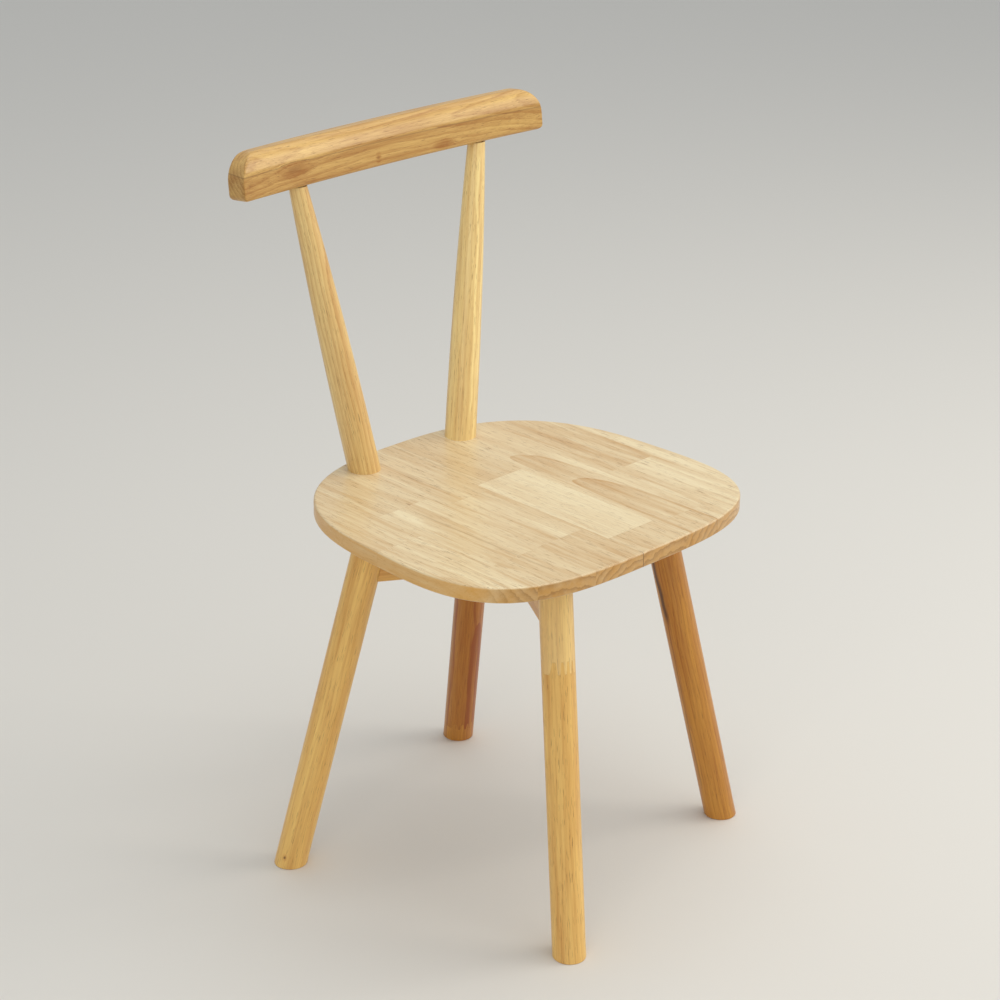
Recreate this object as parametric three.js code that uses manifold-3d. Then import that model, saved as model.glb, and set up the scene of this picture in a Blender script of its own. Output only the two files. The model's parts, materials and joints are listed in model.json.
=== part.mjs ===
// Swivel dining chair in clear-lacquered rubberwood.
// Millimetres, +Z up. The origin is on the floor, on the swivel's axis; the sitter faces -Y.
// The seat unit (seat, posts, crest rail, upper swivel plate) keeps the row's axes. The leg
// frame stands turned under it, as a revolving chair is left after someone gets up.

import * as THREE from 'three';
import { mergeVertices } from 'three/addons/utils/BufferGeometryUtils.js';
import Module from 'manifold-3d';

const wasm = await Module();
wasm.setup();

// ---- Driving dimensions ------------------------------------------------------------------

// Seat panel: edge-glued staves that run front to back, cut to one rounded outline.
const SEAT_TOP = 450;            // height of the sitting surface
const SEAT_THICK = 18;
const SEAT_HALF_WIDTH = 226.5;   // at mid depth; the panel narrows toward the back
const SEAT_TAPER = 0.06;         // width lost on each side per millimetre toward the back
const SEAT_FRONT = 209;          // axis to front edge
const SEAT_BACK = 206;           // axis to back edge
const FRONT_SQUARENESS = 3.36;   // superellipse exponents of the two halves of the outline
const BACK_SQUARENESS = 2.67;
const STAVE_WIDTH = 72.5;
const STAVE_SHIFT = -16;         // glue line nearest the middle, off the centre line

// Legs: round bars that splay outward, cut level at both ends.
const LEG_DIAMETER = 38;
const LEG_SPLAY = 13.5;          // degrees from upright, outward along the frame's diagonal
const FOOT_RADIUS = 267.5;       // axis to the middle of each foot on the floor
const FRAME_TURN = 14.25;        // degrees that the leg frame is turned under the seat

// Cross frame: two battens halved together, tenoned into the legs.
const BATTEN_THICK = 24;
const BATTEN_DEPTH = 54;
const TENON_THICK = 10;
const TENON_DEPTH = 34;
const TENON_LENGTH = 24;         // how far it enters the leg at mid height

// Swivel: two square steel plates with a ball race between them.
const PLATE_SIZE = 150;
const PLATE_THICK = 3;
const PLATE_CORNER = 12;         // corner radius
const PLATE_OPENING = 40;        // radius of the round hole in the middle of each plate
const PLATE_SCREW_RADIUS = 92;   // axis to each plate screw
const BALL_CIRCLE = 57.5;
const BALL_RADIUS = 2.4;
const BALL_COUNT = 24;
const CAGE_HALF_WIDTH = 3;
const CAGE_THICK = 1.4;
const TRACK_THICK = 2.6;         // of the lower race, under the balls
const FLANGE_THICK = 2.2;        // of the upper race, over the balls
const LIP_THICK = 1;             // of the lower race's edge, turned in over that flange
const LIP_ROOM = 0.8;            // between the lip and the upper plate
const RACE_WALL = 2;
const RUNNING_GAP = 0.1;         // ball to track
const CAPTIVE_GAP = 0.4;         // track to the lip that keeps the races together

// Back posts: turned, thick at the seat, drawn in toward the crest rail.
const POST_BASE_X = 78;          // on the seat's top face
const POST_BASE_Y = 172.8;
const POST_BASE_DIAMETER = 37.6;
const POST_TOP_DIAMETER = 20.5;
const POST_SPREAD = 0.1776;      // outward travel per millimetre of height
const BACK_LEAN = 0.1202;        // rearward travel per millimetre of height
const POST_TENON_DIAMETER = 18;
const POST_TENON_DEPTH = 9;      // into the seat
const RAIL_TENON_DIAMETER = 14;
const RAIL_TENON_DEPTH = 22;

// Crest rail: one bowed bar, rolled over at its upper front edge.
const RAIL_RISE = 346;           // seat top to the front lower edge
const RAIL_SETBACK = 12.6;       // post axis behind that edge, where the post enters
const RAIL_LENGTH = 462;
const RAIL_BOW = 13;             // middle behind the ends
const RAIL_THICK = 28;
const RAIL_HEIGHT = 52;
const RAIL_FACE = 32;            // upright part of the front face
const RAIL_ROLL = 12.7;          // how far back the rolled edge reaches
const RAIL_EDGE = 5;             // rounding of the other long edges
const RAIL_TOP_CORNER = 32;
const RAIL_LOW_CORNER = 7;

// Screws.
const SCREW_SHANK = 4;
const SCREW_HEAD = 8.4;
const SCREW_HEAD_HEIGHT = 2.6;
const BATTEN_SCREW = 30;         // length under the head
const SEAT_SCREW_COVER = 2;      // wood left over the tip of a seat screw
const POST_SCREW_SHANK = 5.5;
const POST_SCREW_HEAD = 11;
const POST_SCREW_HEAD_HEIGHT = 3.5;
const POST_SCREW_REACH = 55;     // length under the head
const POST_SCREW_WEB = 4;        // wood that its head pulls against, under the post's tenon
const HEAD_CROWN = 0.7;          // share of a head's radius that is flat on top
const HEAD_RIM = 0.4;            // share of a head's height where its side begins

// Clearances.
const JOINT_GAP = 0.3;           // glued wood joints and coped shoulders
const PILOT_GAP = 0.3;           // round each screw
const HOLE_GAP = 0.5;            // round a screw that passes through steel
const MORTISE_SPARE = 1;         // spare depth at the end of a mortise

// ---- Values that follow ------------------------------------------------------------------

const SWIVEL_HEIGHT = 2 * PLATE_THICK + TRACK_THICK + 2 * (BALL_RADIUS + RUNNING_GAP)
  + FLANGE_THICK + CAPTIVE_GAP + LIP_THICK + LIP_ROOM;
const SEAT_UNDER = SEAT_TOP - SEAT_THICK;
const BATTEN_TOP = SEAT_UNDER - SWIVEL_HEIGHT;
const LOWER_PLATE_TOP = BATTEN_TOP + PLATE_THICK;
const UPPER_PLATE_LOW = SEAT_UNDER - PLATE_THICK;
const BATTEN_LOW = BATTEN_TOP - BATTEN_DEPTH;
const BATTEN_MID = BATTEN_TOP - BATTEN_DEPTH / 2;
const LEG_RADIUS = LEG_DIAMETER / 2;
const SPLAY = THREE.MathUtils.degToRad(LEG_SPLAY);
const RAIL_BOTTOM = SEAT_TOP + RAIL_RISE;
const BOW_RADIUS = ((RAIL_LENGTH / 2) ** 2 + RAIL_BOW ** 2) / (2 * RAIL_BOW);
const POST_AT_RAIL_X = POST_BASE_X + POST_SPREAD * RAIL_RISE;
const POST_AT_RAIL_Y = POST_BASE_Y + BACK_LEAN * RAIL_RISE;
const RAIL_FRONT = POST_AT_RAIL_Y - RAIL_SETBACK - bowOffset(POST_AT_RAIL_X);
const SEAT_SCREW_TIP = SEAT_TOP - SEAT_SCREW_COVER;
const AXIS_STRETCH = Math.hypot(POST_SPREAD, BACK_LEAN, 1);    // along a post's axis, per unit of height
const POST_LENGTH = (RAIL_RISE - RAIL_SETBACK * BACK_LEAN) * AXIS_STRETCH;   // seat to rail
const POST_SCREW_START = -(POST_TENON_DEPTH + POST_SCREW_WEB) * AXIS_STRETCH;
const QUARTER = Math.PI / 2;
const WOOD = { roughness: 0.42, metalness: 0 };
const STEEL = { roughness: 0.35, metalness: 0.9 };

// How far the rail's bow puts a point behind the line through its two ends.
function bowOffset(along) {
  return Math.sqrt(BOW_RADIUS ** 2 - along ** 2) - (BOW_RADIUS - RAIL_BOW);
}

// ---- Solids ------------------------------------------------------------------------------

function solid(geometry) {
  const bare = geometry.clone();
  bare.deleteAttribute('normal');
  bare.deleteAttribute('uv');
  const merged = mergeVertices(bare, 1e-4);
  return new wasm.Manifold(new wasm.Mesh({
    numProp: 3,
    vertProperties: new Float32Array(merged.attributes.position.array),
    triVerts: new Uint32Array(merged.index.array),
  }));
}

function surface(body) {
  const { vertProperties, triVerts } = body.getMesh();
  const geometry = new THREE.BufferGeometry();
  geometry.setAttribute('position', new THREE.BufferAttribute(vertProperties, 3));
  geometry.setIndex(new THREE.BufferAttribute(triVerts, 1));
  geometry.computeVertexNormals();
  return geometry;
}

function block(x0, x1, y0, y1, z0, z1) {
  const geometry = new THREE.BoxGeometry(x1 - x0, y1 - y0, z1 - z0);
  return solid(geometry.translate((x0 + x1) / 2, (y0 + y1) / 2, (z0 + z1) / 2));
}

// A round bar from z0 to z1 on the Z axis.
function bar(radius, z0, z1, sides = 40) {
  const geometry = new THREE.CylinderGeometry(radius, radius, z1 - z0, sides);
  return geometry.rotateX(QUARTER).translate(0, 0, (z0 + z1) / 2);
}

// A body turned from [radius, height] points, first and last on the Z axis.
function turned(profile, sides = 40) {
  const points = profile.map(([radius, height]) => new THREE.Vector2(radius, height));
  return new THREE.LatheGeometry(points, sides).rotateX(QUARTER);
}

// A ring turned from a closed [radius, height] outline.
function ring(outline, sides = 48) {
  return turned([...outline, outline[0]], sides);
}

function extruded(shape, depth, curveSegments = 12) {
  return new THREE.ExtrudeGeometry(shape, { depth, bevelEnabled: false, curveSegments });
}

function roundedSquare(size, radius) {
  const half = size / 2;
  const inner = half - radius;
  const shape = new THREE.Shape();
  shape.absarc(inner, inner, radius, 0, QUARTER);
  shape.absarc(-inner, inner, radius, QUARTER, 2 * QUARTER);
  shape.absarc(-inner, -inner, radius, 2 * QUARTER, 3 * QUARTER);
  shape.absarc(inner, -inner, radius, 3 * QUARTER, 4 * QUARTER);
  return shape;
}

// ---- Materials and scene graph -----------------------------------------------------------

const chair = new THREE.Group();
const seatUnit = new THREE.Group();
const legFrame = new THREE.Group();
legFrame.rotation.z = THREE.MathUtils.degToRad(45 + FRAME_TURN);
chair.add(seatUnit, legFrame);

function add(group, name, geometry, color, finish) {
  const mesh = new THREE.Mesh(geometry, new THREE.MeshStandardMaterial({ color, ...finish }));
  mesh.name = name;
  group.add(mesh);
  return mesh;
}

// ---- Crest rail --------------------------------------------------------------------------

// Section seen from the chair's -X end: across is rearward, up is up, from the front lower edge.
function railSection() {
  const shape = new THREE.Shape();
  const back = RAIL_THICK - RAIL_EDGE;
  shape.moveTo(RAIL_EDGE, 0);
  shape.lineTo(back, 0);
  shape.absarc(back, RAIL_EDGE, RAIL_EDGE, -QUARTER, 0);
  shape.lineTo(RAIL_THICK, RAIL_HEIGHT - RAIL_EDGE);
  shape.absarc(back, RAIL_HEIGHT - RAIL_EDGE, RAIL_EDGE, 0, QUARTER);
  shape.lineTo(RAIL_ROLL, RAIL_HEIGHT);
  shape.quadraticCurveTo(RAIL_ROLL / 4, RAIL_HEIGHT - RAIL_EDGE / 2, 0, RAIL_FACE);
  shape.lineTo(0, RAIL_EDGE);
  shape.absarc(RAIL_EDGE, RAIL_EDGE, RAIL_EDGE, 2 * QUARTER, 3 * QUARTER);
  return shape;
}

// Front view of the rail: wide rounding above, little below.
function railFront() {
  const half = RAIL_LENGTH / 2;
  const top = half - RAIL_TOP_CORNER;
  const low = half - RAIL_LOW_CORNER;
  const shape = new THREE.Shape();
  shape.absarc(low, RAIL_LOW_CORNER, RAIL_LOW_CORNER, -QUARTER, 0);
  shape.absarc(top, RAIL_HEIGHT - RAIL_TOP_CORNER, RAIL_TOP_CORNER, 0, QUARTER);
  shape.absarc(-top, RAIL_HEIGHT - RAIL_TOP_CORNER, RAIL_TOP_CORNER, QUARTER, 2 * QUARTER);
  shape.absarc(-low, RAIL_LOW_CORNER, RAIL_LOW_CORNER, 2 * QUARTER, 3 * QUARTER);
  return shape;
}

// Moves every point rearward by the bow at its place along the rail.
function bow(geometry) {
  const position = geometry.attributes.position;
  for (let i = 0; i < position.count; i += 1) {
    position.setY(i, position.getY(i) + bowOffset(position.getX(i)));
  }
  return geometry;
}

function railBlank() {
  const bowSteps = 14;
  const across = new THREE.ExtrudeGeometry(railSection(), {
    depth: RAIL_LENGTH, steps: bowSteps, bevelEnabled: false, curveSegments: 4,
  });
  // Section across -> Y, section up -> Z, extrusion -> X.
  across.translate(0, 0, -RAIL_LENGTH / 2);
  across.applyMatrix4(new THREE.Matrix4().makeBasis(
    new THREE.Vector3(0, 1, 0), new THREE.Vector3(0, 0, 1), new THREE.Vector3(1, 0, 0)));
  const front = extruded(railFront(), 2 * (RAIL_THICK + RAIL_BOW), 6);
  front.rotateX(QUARTER).translate(0, RAIL_THICK + 1.5 * RAIL_BOW, 0);
  const leaned = new THREE.Matrix4().makeRotationX(-Math.atan(BACK_LEAN));
  leaned.setPosition(0, RAIL_FRONT, RAIL_BOTTOM);
  return [bow(across), front].map((geometry) => solid(geometry.applyMatrix4(leaned)))
    .reduce((body, cutter) => body.intersect(cutter));
}

// ---- Back posts --------------------------------------------------------------------------

// Takes the Z axis to a post's axis, with the origin at the post's base on the seat.
function postPlace(side) {
  const up = new THREE.Vector3(side * POST_SPREAD, BACK_LEAN, 1).normalize();
  const turn = new THREE.Quaternion().setFromUnitVectors(new THREE.Vector3(0, 0, 1), up);
  const base = new THREE.Vector3(side * POST_BASE_X, POST_BASE_Y, SEAT_TOP);
  return new THREE.Matrix4().compose(base, turn, new THREE.Vector3(1, 1, 1));
}

function postRadius(share) {
  return (POST_BASE_DIAMETER - (POST_BASE_DIAMETER - POST_TOP_DIAMETER) * share ** 2) / 2;
}

function postBody(side, rail) {
  const rings = 10;
  const over = POST_BASE_DIAMETER / 2;
  const profile = [[0, -over], [postRadius(0), -over]];
  for (let i = 0; i <= rings; i += 1) {
    profile.push([postRadius(i / rings), POST_LENGTH * i / rings]);
  }
  profile.push([postRadius(1), POST_LENGTH + over], [0, POST_LENGTH + over]);
  const place = postPlace(side);
  const room = RAIL_LENGTH;
  const aboveSeat = block(-room, room, 0, room, SEAT_TOP, RAIL_BOTTOM + RAIL_HEIGHT);
  const railWithGap = rail.translate([0, 0, -JOINT_GAP]);
  const shaft = solid(turned(profile, 32).applyMatrix4(place)).intersect(aboveSeat)
    .subtract(railWithGap).decompose()
    .reduce((largest, piece) => (piece.volume() > largest.volume() ? piece : largest));
  const inSeat = solid(bar(POST_TENON_DIAMETER / 2, -2 * POST_TENON_DEPTH, 5, 24).applyMatrix4(place))
    .intersect(block(-room, room, 0, room, SEAT_TOP - POST_TENON_DEPTH, SEAT_TOP + 1));
  const inRail = solid(bar(
    RAIL_TENON_DIAMETER / 2, POST_LENGTH - 5, POST_LENGTH + RAIL_TENON_DEPTH, 24).applyMatrix4(place));
  const pilot = solid(bar(POST_SCREW_SHANK / 2 + PILOT_GAP, -SEAT_THICK,
    POST_SCREW_REACH, 16).applyMatrix4(place));
  return shaft.add(inSeat).add(inRail).subtract(pilot);
}

// A screw along +Z, with the face under its head at the origin.
function screwBody(diameter, headDiameter, headHeight, length) {
  const shank = diameter / 2;
  const head = headDiameter / 2;
  return turned([
    [0, -headHeight], [head * HEAD_CROWN, -headHeight], [head, -headHeight * HEAD_RIM],
    [head, 0], [shank, 0], [shank, length - diameter], [0, length],
  ], 16);
}

// The screw that pulls a post down from under the seat, with its head in a counterbore.
function postScrew() {
  return screwBody(POST_SCREW_SHANK, POST_SCREW_HEAD, POST_SCREW_HEAD_HEIGHT, POST_SCREW_REACH)
    .translate(0, 0, POST_SCREW_START);
}

function postPocket(side) {
  const start = POST_SCREW_START + JOINT_GAP;
  const place = postPlace(side);
  const tenon = solid(bar(POST_TENON_DIAMETER / 2 + JOINT_GAP, -2 * SEAT_THICK, SEAT_THICK, 24)
    .applyMatrix4(place)).intersect(block(-RAIL_LENGTH, RAIL_LENGTH, 0, RAIL_LENGTH,
    SEAT_TOP - POST_TENON_DEPTH - JOINT_GAP, SEAT_TOP + 1));
  const shank = solid(bar(POST_SCREW_SHANK / 2 + PILOT_GAP, -SEAT_THICK, 0, 16).applyMatrix4(place));
  const head = solid(bar(POST_SCREW_HEAD / 2 + HOLE_GAP, -2 * SEAT_THICK, start, 20)
    .applyMatrix4(place));
  return tenon.add(shank).add(head);
}

// ---- Seat --------------------------------------------------------------------------------

// One point of the outline; the angle runs anticlockwise from +X.
function seatPoint(angle) {
  const sine = Math.sin(angle);
  const cosine = Math.cos(angle);
  const front = sine < 0;
  const power = 2 / (front ? FRONT_SQUARENESS : BACK_SQUARENESS);
  const y = Math.sign(sine) * Math.abs(sine) ** power * (front ? SEAT_FRONT : SEAT_BACK);
  const half = SEAT_HALF_WIDTH - SEAT_TAPER * y;
  return new THREE.Vector2(Math.sign(cosine) * Math.abs(cosine) ** power * half, y);
}

function seatPanel() {
  const steps = 120;
  const points = Array.from({ length: steps }, (_, i) => seatPoint(2 * Math.PI * (i + 0.5) / steps));
  return solid(extruded(new THREE.Shape(points), SEAT_THICK).translate(0, 0, SEAT_UNDER));
}

// Screw places near a square plate's corners.
function cornerPlaces() {
  const offset = PLATE_SCREW_RADIUS / Math.SQRT2;
  return [[1, 1], [-1, 1], [-1, -1], [1, -1]].map(([x, y]) => [x * offset, y * offset]);
}

function seatStaves() {
  const pilots = cornerPlaces().map(([x, y]) => solid(
    bar(SCREW_SHANK / 2 + PILOT_GAP, SEAT_UNDER - 1, SEAT_SCREW_TIP + PILOT_GAP, 12)
      .translate(x, y, 0)));
  const panel = [...pilots, postPocket(1), postPocket(-1)]
    .reduce((body, cut) => body.subtract(cut), seatPanel());
  const reach = SEAT_HALF_WIDTH + SEAT_TAPER * SEAT_FRONT;
  const first = Math.floor((-reach - STAVE_SHIFT) / STAVE_WIDTH);
  const last = Math.ceil((reach - STAVE_SHIFT) / STAVE_WIDTH);
  const depth = SEAT_FRONT + SEAT_BACK;
  const staves = [];
  for (let i = first; i < last; i += 1) {
    const left = STAVE_SHIFT + i * STAVE_WIDTH;
    const strip = block(left, left + STAVE_WIDTH, -depth, depth, SEAT_UNDER - 1, SEAT_TOP + 1);
    staves.push(panel.intersect(strip));
  }
  return staves.filter((stave) => !stave.isEmpty());
}

// ---- Legs and cross frame ----------------------------------------------------------------
// In the leg frame's group the battens lie on X and Y and the legs stand at their ends.

// The bar of one leg, before its ends are cut, leaning in toward the middle.
function legBar(radius) {
  const length = 2 * SEAT_TOP;
  return solid(bar(radius, -length / 2, length, 48).rotateY(-SPLAY).translate(FOOT_RADIUS, 0, 0));
}

function legAxisRadius(height) {
  return FOOT_RADIUS - height * Math.tan(SPLAY);
}

const TENON_END = legAxisRadius(BATTEN_MID) - LEG_RADIUS / Math.cos(SPLAY) + TENON_LENGTH;

function tenonBlock(gap, end) {
  const start = TENON_END - TENON_LENGTH - LEG_RADIUS / 2;
  return block(start, end, -TENON_THICK / 2 - gap, TENON_THICK / 2 + gap,
    BATTEN_MID - TENON_DEPTH / 2 - gap, BATTEN_MID + TENON_DEPTH / 2 + gap);
}

function leg() {
  const room = FOOT_RADIUS + LEG_DIAMETER;
  const levelled = legBar(LEG_RADIUS).intersect(block(0, room, -room, room, 0, BATTEN_TOP));
  return levelled.subtract(tenonBlock(JOINT_GAP, TENON_END + MORTISE_SPARE));
}

// A batten along X; the notch for the other batten is in its upper or lower half.
function batten(notchAbove) {
  const half = legAxisRadius(BATTEN_MID);
  const legRoom = legBar(LEG_RADIUS + JOINT_GAP);
  const arm = block(-BATTEN_THICK, half, -BATTEN_THICK / 2, BATTEN_THICK / 2, BATTEN_LOW, BATTEN_TOP)
    .subtract(legRoom).add(tenonBlock(0, TENON_END));
  const reach = BATTEN_THICK / 2 + JOINT_GAP;
  const notch = notchAbove
    ? block(-reach, reach, -reach, reach, BATTEN_MID - JOINT_GAP / 2, BATTEN_TOP + 1)
    : block(-reach, reach, -reach, reach, BATTEN_LOW - 1, BATTEN_MID + JOINT_GAP / 2);
  const pilots = [-1, 1].map((side) => solid(bar(SCREW_SHANK / 2 + PILOT_GAP,
    LOWER_PLATE_TOP - BATTEN_SCREW - PILOT_GAP, LOWER_PLATE_TOP, 12)
    .translate(side * PLATE_SCREW_RADIUS, 0, 0)));
  const whole = arm.add(arm.rotate([0, 0, 180]));
  return [notch, ...pilots].reduce((body, cut) => body.subtract(cut), whole);
}

// ---- Swivel ------------------------------------------------------------------------------

function plate(low, screwPlaces) {
  const shape = roundedSquare(PLATE_SIZE, PLATE_CORNER);
  const body = solid(extruded(shape, PLATE_THICK, 6).translate(0, 0, low));
  const opening = solid(bar(PLATE_OPENING, low - 1, low + PLATE_THICK + 1, 32));
  const holes = screwPlaces.map(([x, y]) => solid(
    bar(SCREW_SHANK / 2 + HOLE_GAP, low - 1, low + PLATE_THICK + 1, 16).translate(x, y, 0)));
  return [opening, ...holes].reduce((rest, cut) => rest.subtract(cut), body);
}

const TRACK_TOP = LOWER_PLATE_TOP + TRACK_THICK;
const BALL_HEIGHT = TRACK_TOP + RUNNING_GAP + BALL_RADIUS;
const FLANGE_LOW = BALL_HEIGHT + BALL_RADIUS + RUNNING_GAP;
const FLANGE_TOP = FLANGE_LOW + FLANGE_THICK;
const LIP_LOW = FLANGE_TOP + CAPTIVE_GAP;
const LIP_TOP = LIP_LOW + LIP_THICK;
const WALL_OUTER = BALL_CIRCLE + CAGE_HALF_WIDTH + CAPTIVE_GAP + RACE_WALL;
const WALL_INNER = WALL_OUTER - RACE_WALL;
const TRACK_INNER = BALL_CIRCLE - 2 * CAGE_HALF_WIDTH;
const NECK_OUTER = BALL_CIRCLE - CAGE_HALF_WIDTH;

// A ring of L section that holds the balls; its lip turns in over the upper race.
function lowerRace() {
  return ring([
    [TRACK_INNER, LOWER_PLATE_TOP], [WALL_OUTER, LOWER_PLATE_TOP], [WALL_OUTER, LIP_TOP],
    [BALL_CIRCLE, LIP_TOP], [BALL_CIRCLE, LIP_LOW], [WALL_INNER, LIP_LOW],
    [WALL_INNER, TRACK_TOP], [TRACK_INNER, TRACK_TOP],
  ]);
}

// A flange that rolls on the balls, held to the upper plate by its neck.
function upperRace() {
  const outer = WALL_INNER - CAPTIVE_GAP;
  return ring([
    [TRACK_INNER, FLANGE_LOW], [outer, FLANGE_LOW], [outer, FLANGE_TOP],
    [NECK_OUTER, FLANGE_TOP], [NECK_OUTER, UPPER_PLATE_LOW], [TRACK_INNER, UPPER_PLATE_LOW],
  ]);
}

function ballRing() {
  const half = CAGE_THICK / 2;
  const cage = solid(ring([
    [BALL_CIRCLE - CAGE_HALF_WIDTH, BALL_HEIGHT - half],
    [BALL_CIRCLE + CAGE_HALF_WIDTH, BALL_HEIGHT - half],
    [BALL_CIRCLE + CAGE_HALF_WIDTH, BALL_HEIGHT + half],
    [BALL_CIRCLE - CAGE_HALF_WIDTH, BALL_HEIGHT + half],
  ], BALL_COUNT * 2));
  const ball = new THREE.SphereGeometry(BALL_RADIUS, 8, 4).rotateX(QUARTER);
  return Array.from({ length: BALL_COUNT }, (_, i) => solid(
    ball.clone().translate(BALL_CIRCLE, 0, BALL_HEIGHT).rotateZ(2 * Math.PI * i / BALL_COUNT)))
    .reduce((body, one) => body.add(one), cage);
}

// A pan-head wood screw that points up (+1) or down (-1) from the face under its head.
function woodScrew(length, up) {
  const geometry = screwBody(SCREW_SHANK, SCREW_HEAD, SCREW_HEAD_HEIGHT, length);
  return up > 0 ? geometry : geometry.rotateX(2 * QUARTER);
}

// ---- Assembly: seat unit -----------------------------------------------------------------

seatStaves().forEach((stave, i) => add(seatUnit, `seat_stave_${i + 1}`, surface(stave), 0xe2cfa4, WOOD));

const rail = railBlank();
const posts = [['left', -1], ['right', 1]].map(([name, side]) => ({
  name, side, body: postBody(side, rail),
}));
const railMortises = posts.map(({ side }) => solid(bar(RAIL_TENON_DIAMETER / 2 + JOINT_GAP,
  0, POST_LENGTH + RAIL_TENON_DEPTH + MORTISE_SPARE, 24).applyMatrix4(postPlace(side))));
add(seatUnit, 'crest_rail', surface(railMortises.reduce((body, cut) => body.subtract(cut), rail)),
  0xcf9d58, WOOD);
posts.forEach(({ name, side, body }) => {
  add(seatUnit, `back_post_${name}`, surface(body), 0xd0a45e, WOOD);
  add(seatUnit, `post_screw_${name}`, postScrew().applyMatrix4(postPlace(side)), 0x9a9a96, STEEL);
});

add(seatUnit, 'swivel_upper_plate', surface(plate(UPPER_PLATE_LOW, cornerPlaces())), 0x8d9092, STEEL);
add(seatUnit, 'swivel_upper_race', upperRace(), 0x8d9092, STEEL);
cornerPlaces().forEach(([x, y], i) => {
  const screw = woodScrew(SEAT_SCREW_TIP - UPPER_PLATE_LOW, 1);
  add(seatUnit, `seat_screw_${i + 1}`, screw.translate(x, y, UPPER_PLATE_LOW), 0xb8b49a, STEEL);
});

// ---- Assembly: leg frame -----------------------------------------------------------------

add(legFrame, 'cross_batten_over', surface(batten(false)), 0xb98a4a, WOOD);
add(legFrame, 'cross_batten_under', surface(batten(true)), 0xb98a4a, WOOD).rotation.z = QUARTER;

// The frame is turned by 45 degrees plus its rest turn, so its +X end is behind the chair.
['rear_right', 'rear_left', 'front_left', 'front_right'].forEach((corner, i) => {
  add(legFrame, `leg_${corner}`, surface(leg()), 0xc89a52, WOOD).rotation.z = i * QUARTER;
  const screw = woodScrew(BATTEN_SCREW, -1);
  screw.translate(PLATE_SCREW_RADIUS, 0, LOWER_PLATE_TOP);
  add(legFrame, `batten_screw_${i + 1}`, screw, 0xb8b49a, STEEL).rotation.z = i * QUARTER;
});

// The lower plate's corners lie over the battens.
add(legFrame, 'swivel_lower_plate', surface(plate(BATTEN_TOP, cornerPlaces())), 0x8d9092, STEEL)
  .rotation.z = QUARTER / 2;
add(legFrame, 'swivel_lower_race', lowerRace(), 0x8d9092, STEEL);
add(legFrame, 'ball_ring', surface(ballRing()), 0xc9c7bd, STEEL);

export default chair;
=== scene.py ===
# Swivel dining chair: its lacquered wood and plated steel. Metres, +Z up, the sitter faces -Y.
# Laid out as an add-on: run as a script, it builds the whole chair.

import json
import math
import operator

import bmesh
import bpy
import numpy as np
from mathutils import Matrix, Vector


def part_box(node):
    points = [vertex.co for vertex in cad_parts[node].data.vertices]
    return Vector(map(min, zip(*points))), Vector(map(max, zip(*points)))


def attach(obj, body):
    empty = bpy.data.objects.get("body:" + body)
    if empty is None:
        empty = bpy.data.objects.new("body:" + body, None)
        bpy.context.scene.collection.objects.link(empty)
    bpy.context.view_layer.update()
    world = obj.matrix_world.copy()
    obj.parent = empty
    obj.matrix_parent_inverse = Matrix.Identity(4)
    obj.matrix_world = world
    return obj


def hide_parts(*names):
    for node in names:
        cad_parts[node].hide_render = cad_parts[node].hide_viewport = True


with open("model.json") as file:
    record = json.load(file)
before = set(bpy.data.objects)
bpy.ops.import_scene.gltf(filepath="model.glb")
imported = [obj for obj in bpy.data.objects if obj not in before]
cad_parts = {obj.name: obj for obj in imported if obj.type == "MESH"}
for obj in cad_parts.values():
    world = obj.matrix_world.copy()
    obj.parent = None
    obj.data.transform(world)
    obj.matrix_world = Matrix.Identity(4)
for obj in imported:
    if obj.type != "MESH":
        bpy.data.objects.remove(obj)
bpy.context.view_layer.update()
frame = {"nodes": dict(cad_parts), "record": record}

bl_info = {
    "name": "Swivel Dining Chair",
    "version": (1, 0, 0),
    "blender": (4, 5, 0),
    "location": "View3D > Sidebar > Chair",
    "description": "Builds a lacquered rubberwood chair whose seat turns on a ball race",
    "category": "Add Mesh",
}

MM = 0.001
X_AXIS = Vector((1, 0, 0))
Y_AXIS = Vector((0, 1, 0))
Z_AXIS = Vector((0, 0, 1))
SEAT_BODY = "seat_unit"
LEG_BODY = "leg_frame"
CAGE_BODY = "ball_cage"
CORNERS = ("rear_right", "rear_left", "front_left", "front_right")
SIDES = {"left": -1, "right": 1}


def tint(red, green, blue):
    """Turns display red, green and blue, 0 to 255, into the linear colour that shaders use."""
    linear = []
    for value in (red, green, blue):
        share = value / 255
        linear.append(share / 12.92 if share <= 0.04045 else ((share + 0.055) / 1.055) ** 2.4)
    return (*linear, 1.0)


# ---- Places read from the frame ------------------------------------------------------------

BOARDS = sorted(name for name in frame["nodes"] if name.startswith("seat_stave_"))
SEAT_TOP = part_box(BOARDS[0])[1].z
SEAT_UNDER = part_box(BOARDS[0])[0].z
FEET = {mount["name"]: Vector(mount["pos_m"]) for mount in frame["record"]["mounts"]}


def leg_ends(corner):
    """The middle of a leg's foot and of its top, from its mount and its box."""
    foot = FEET["foot_" + corner]
    low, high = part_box("leg_" + corner)
    top = Vector((0, 0, high.z))
    for axis in (0, 1):
        near, far = sorted((low[axis], high[axis]), key=abs)
        top[axis] = near + far - foot[axis]
    return foot, top


# ---- Sizes and colours ---------------------------------------------------------------------


def length(name, value, description):
    return bpy.props.FloatProperty(
        name=name, default=value, description=description, subtype="DISTANCE", unit="LENGTH",
        precision=5)


def number(name, value, description):
    return bpy.props.FloatProperty(name=name, default=value, description=description, precision=4)


def colour(name, value, description):
    return bpy.props.FloatVectorProperty(
        name=name, default=value, description=description, subtype="COLOR", size=4, min=0, max=1)


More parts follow.
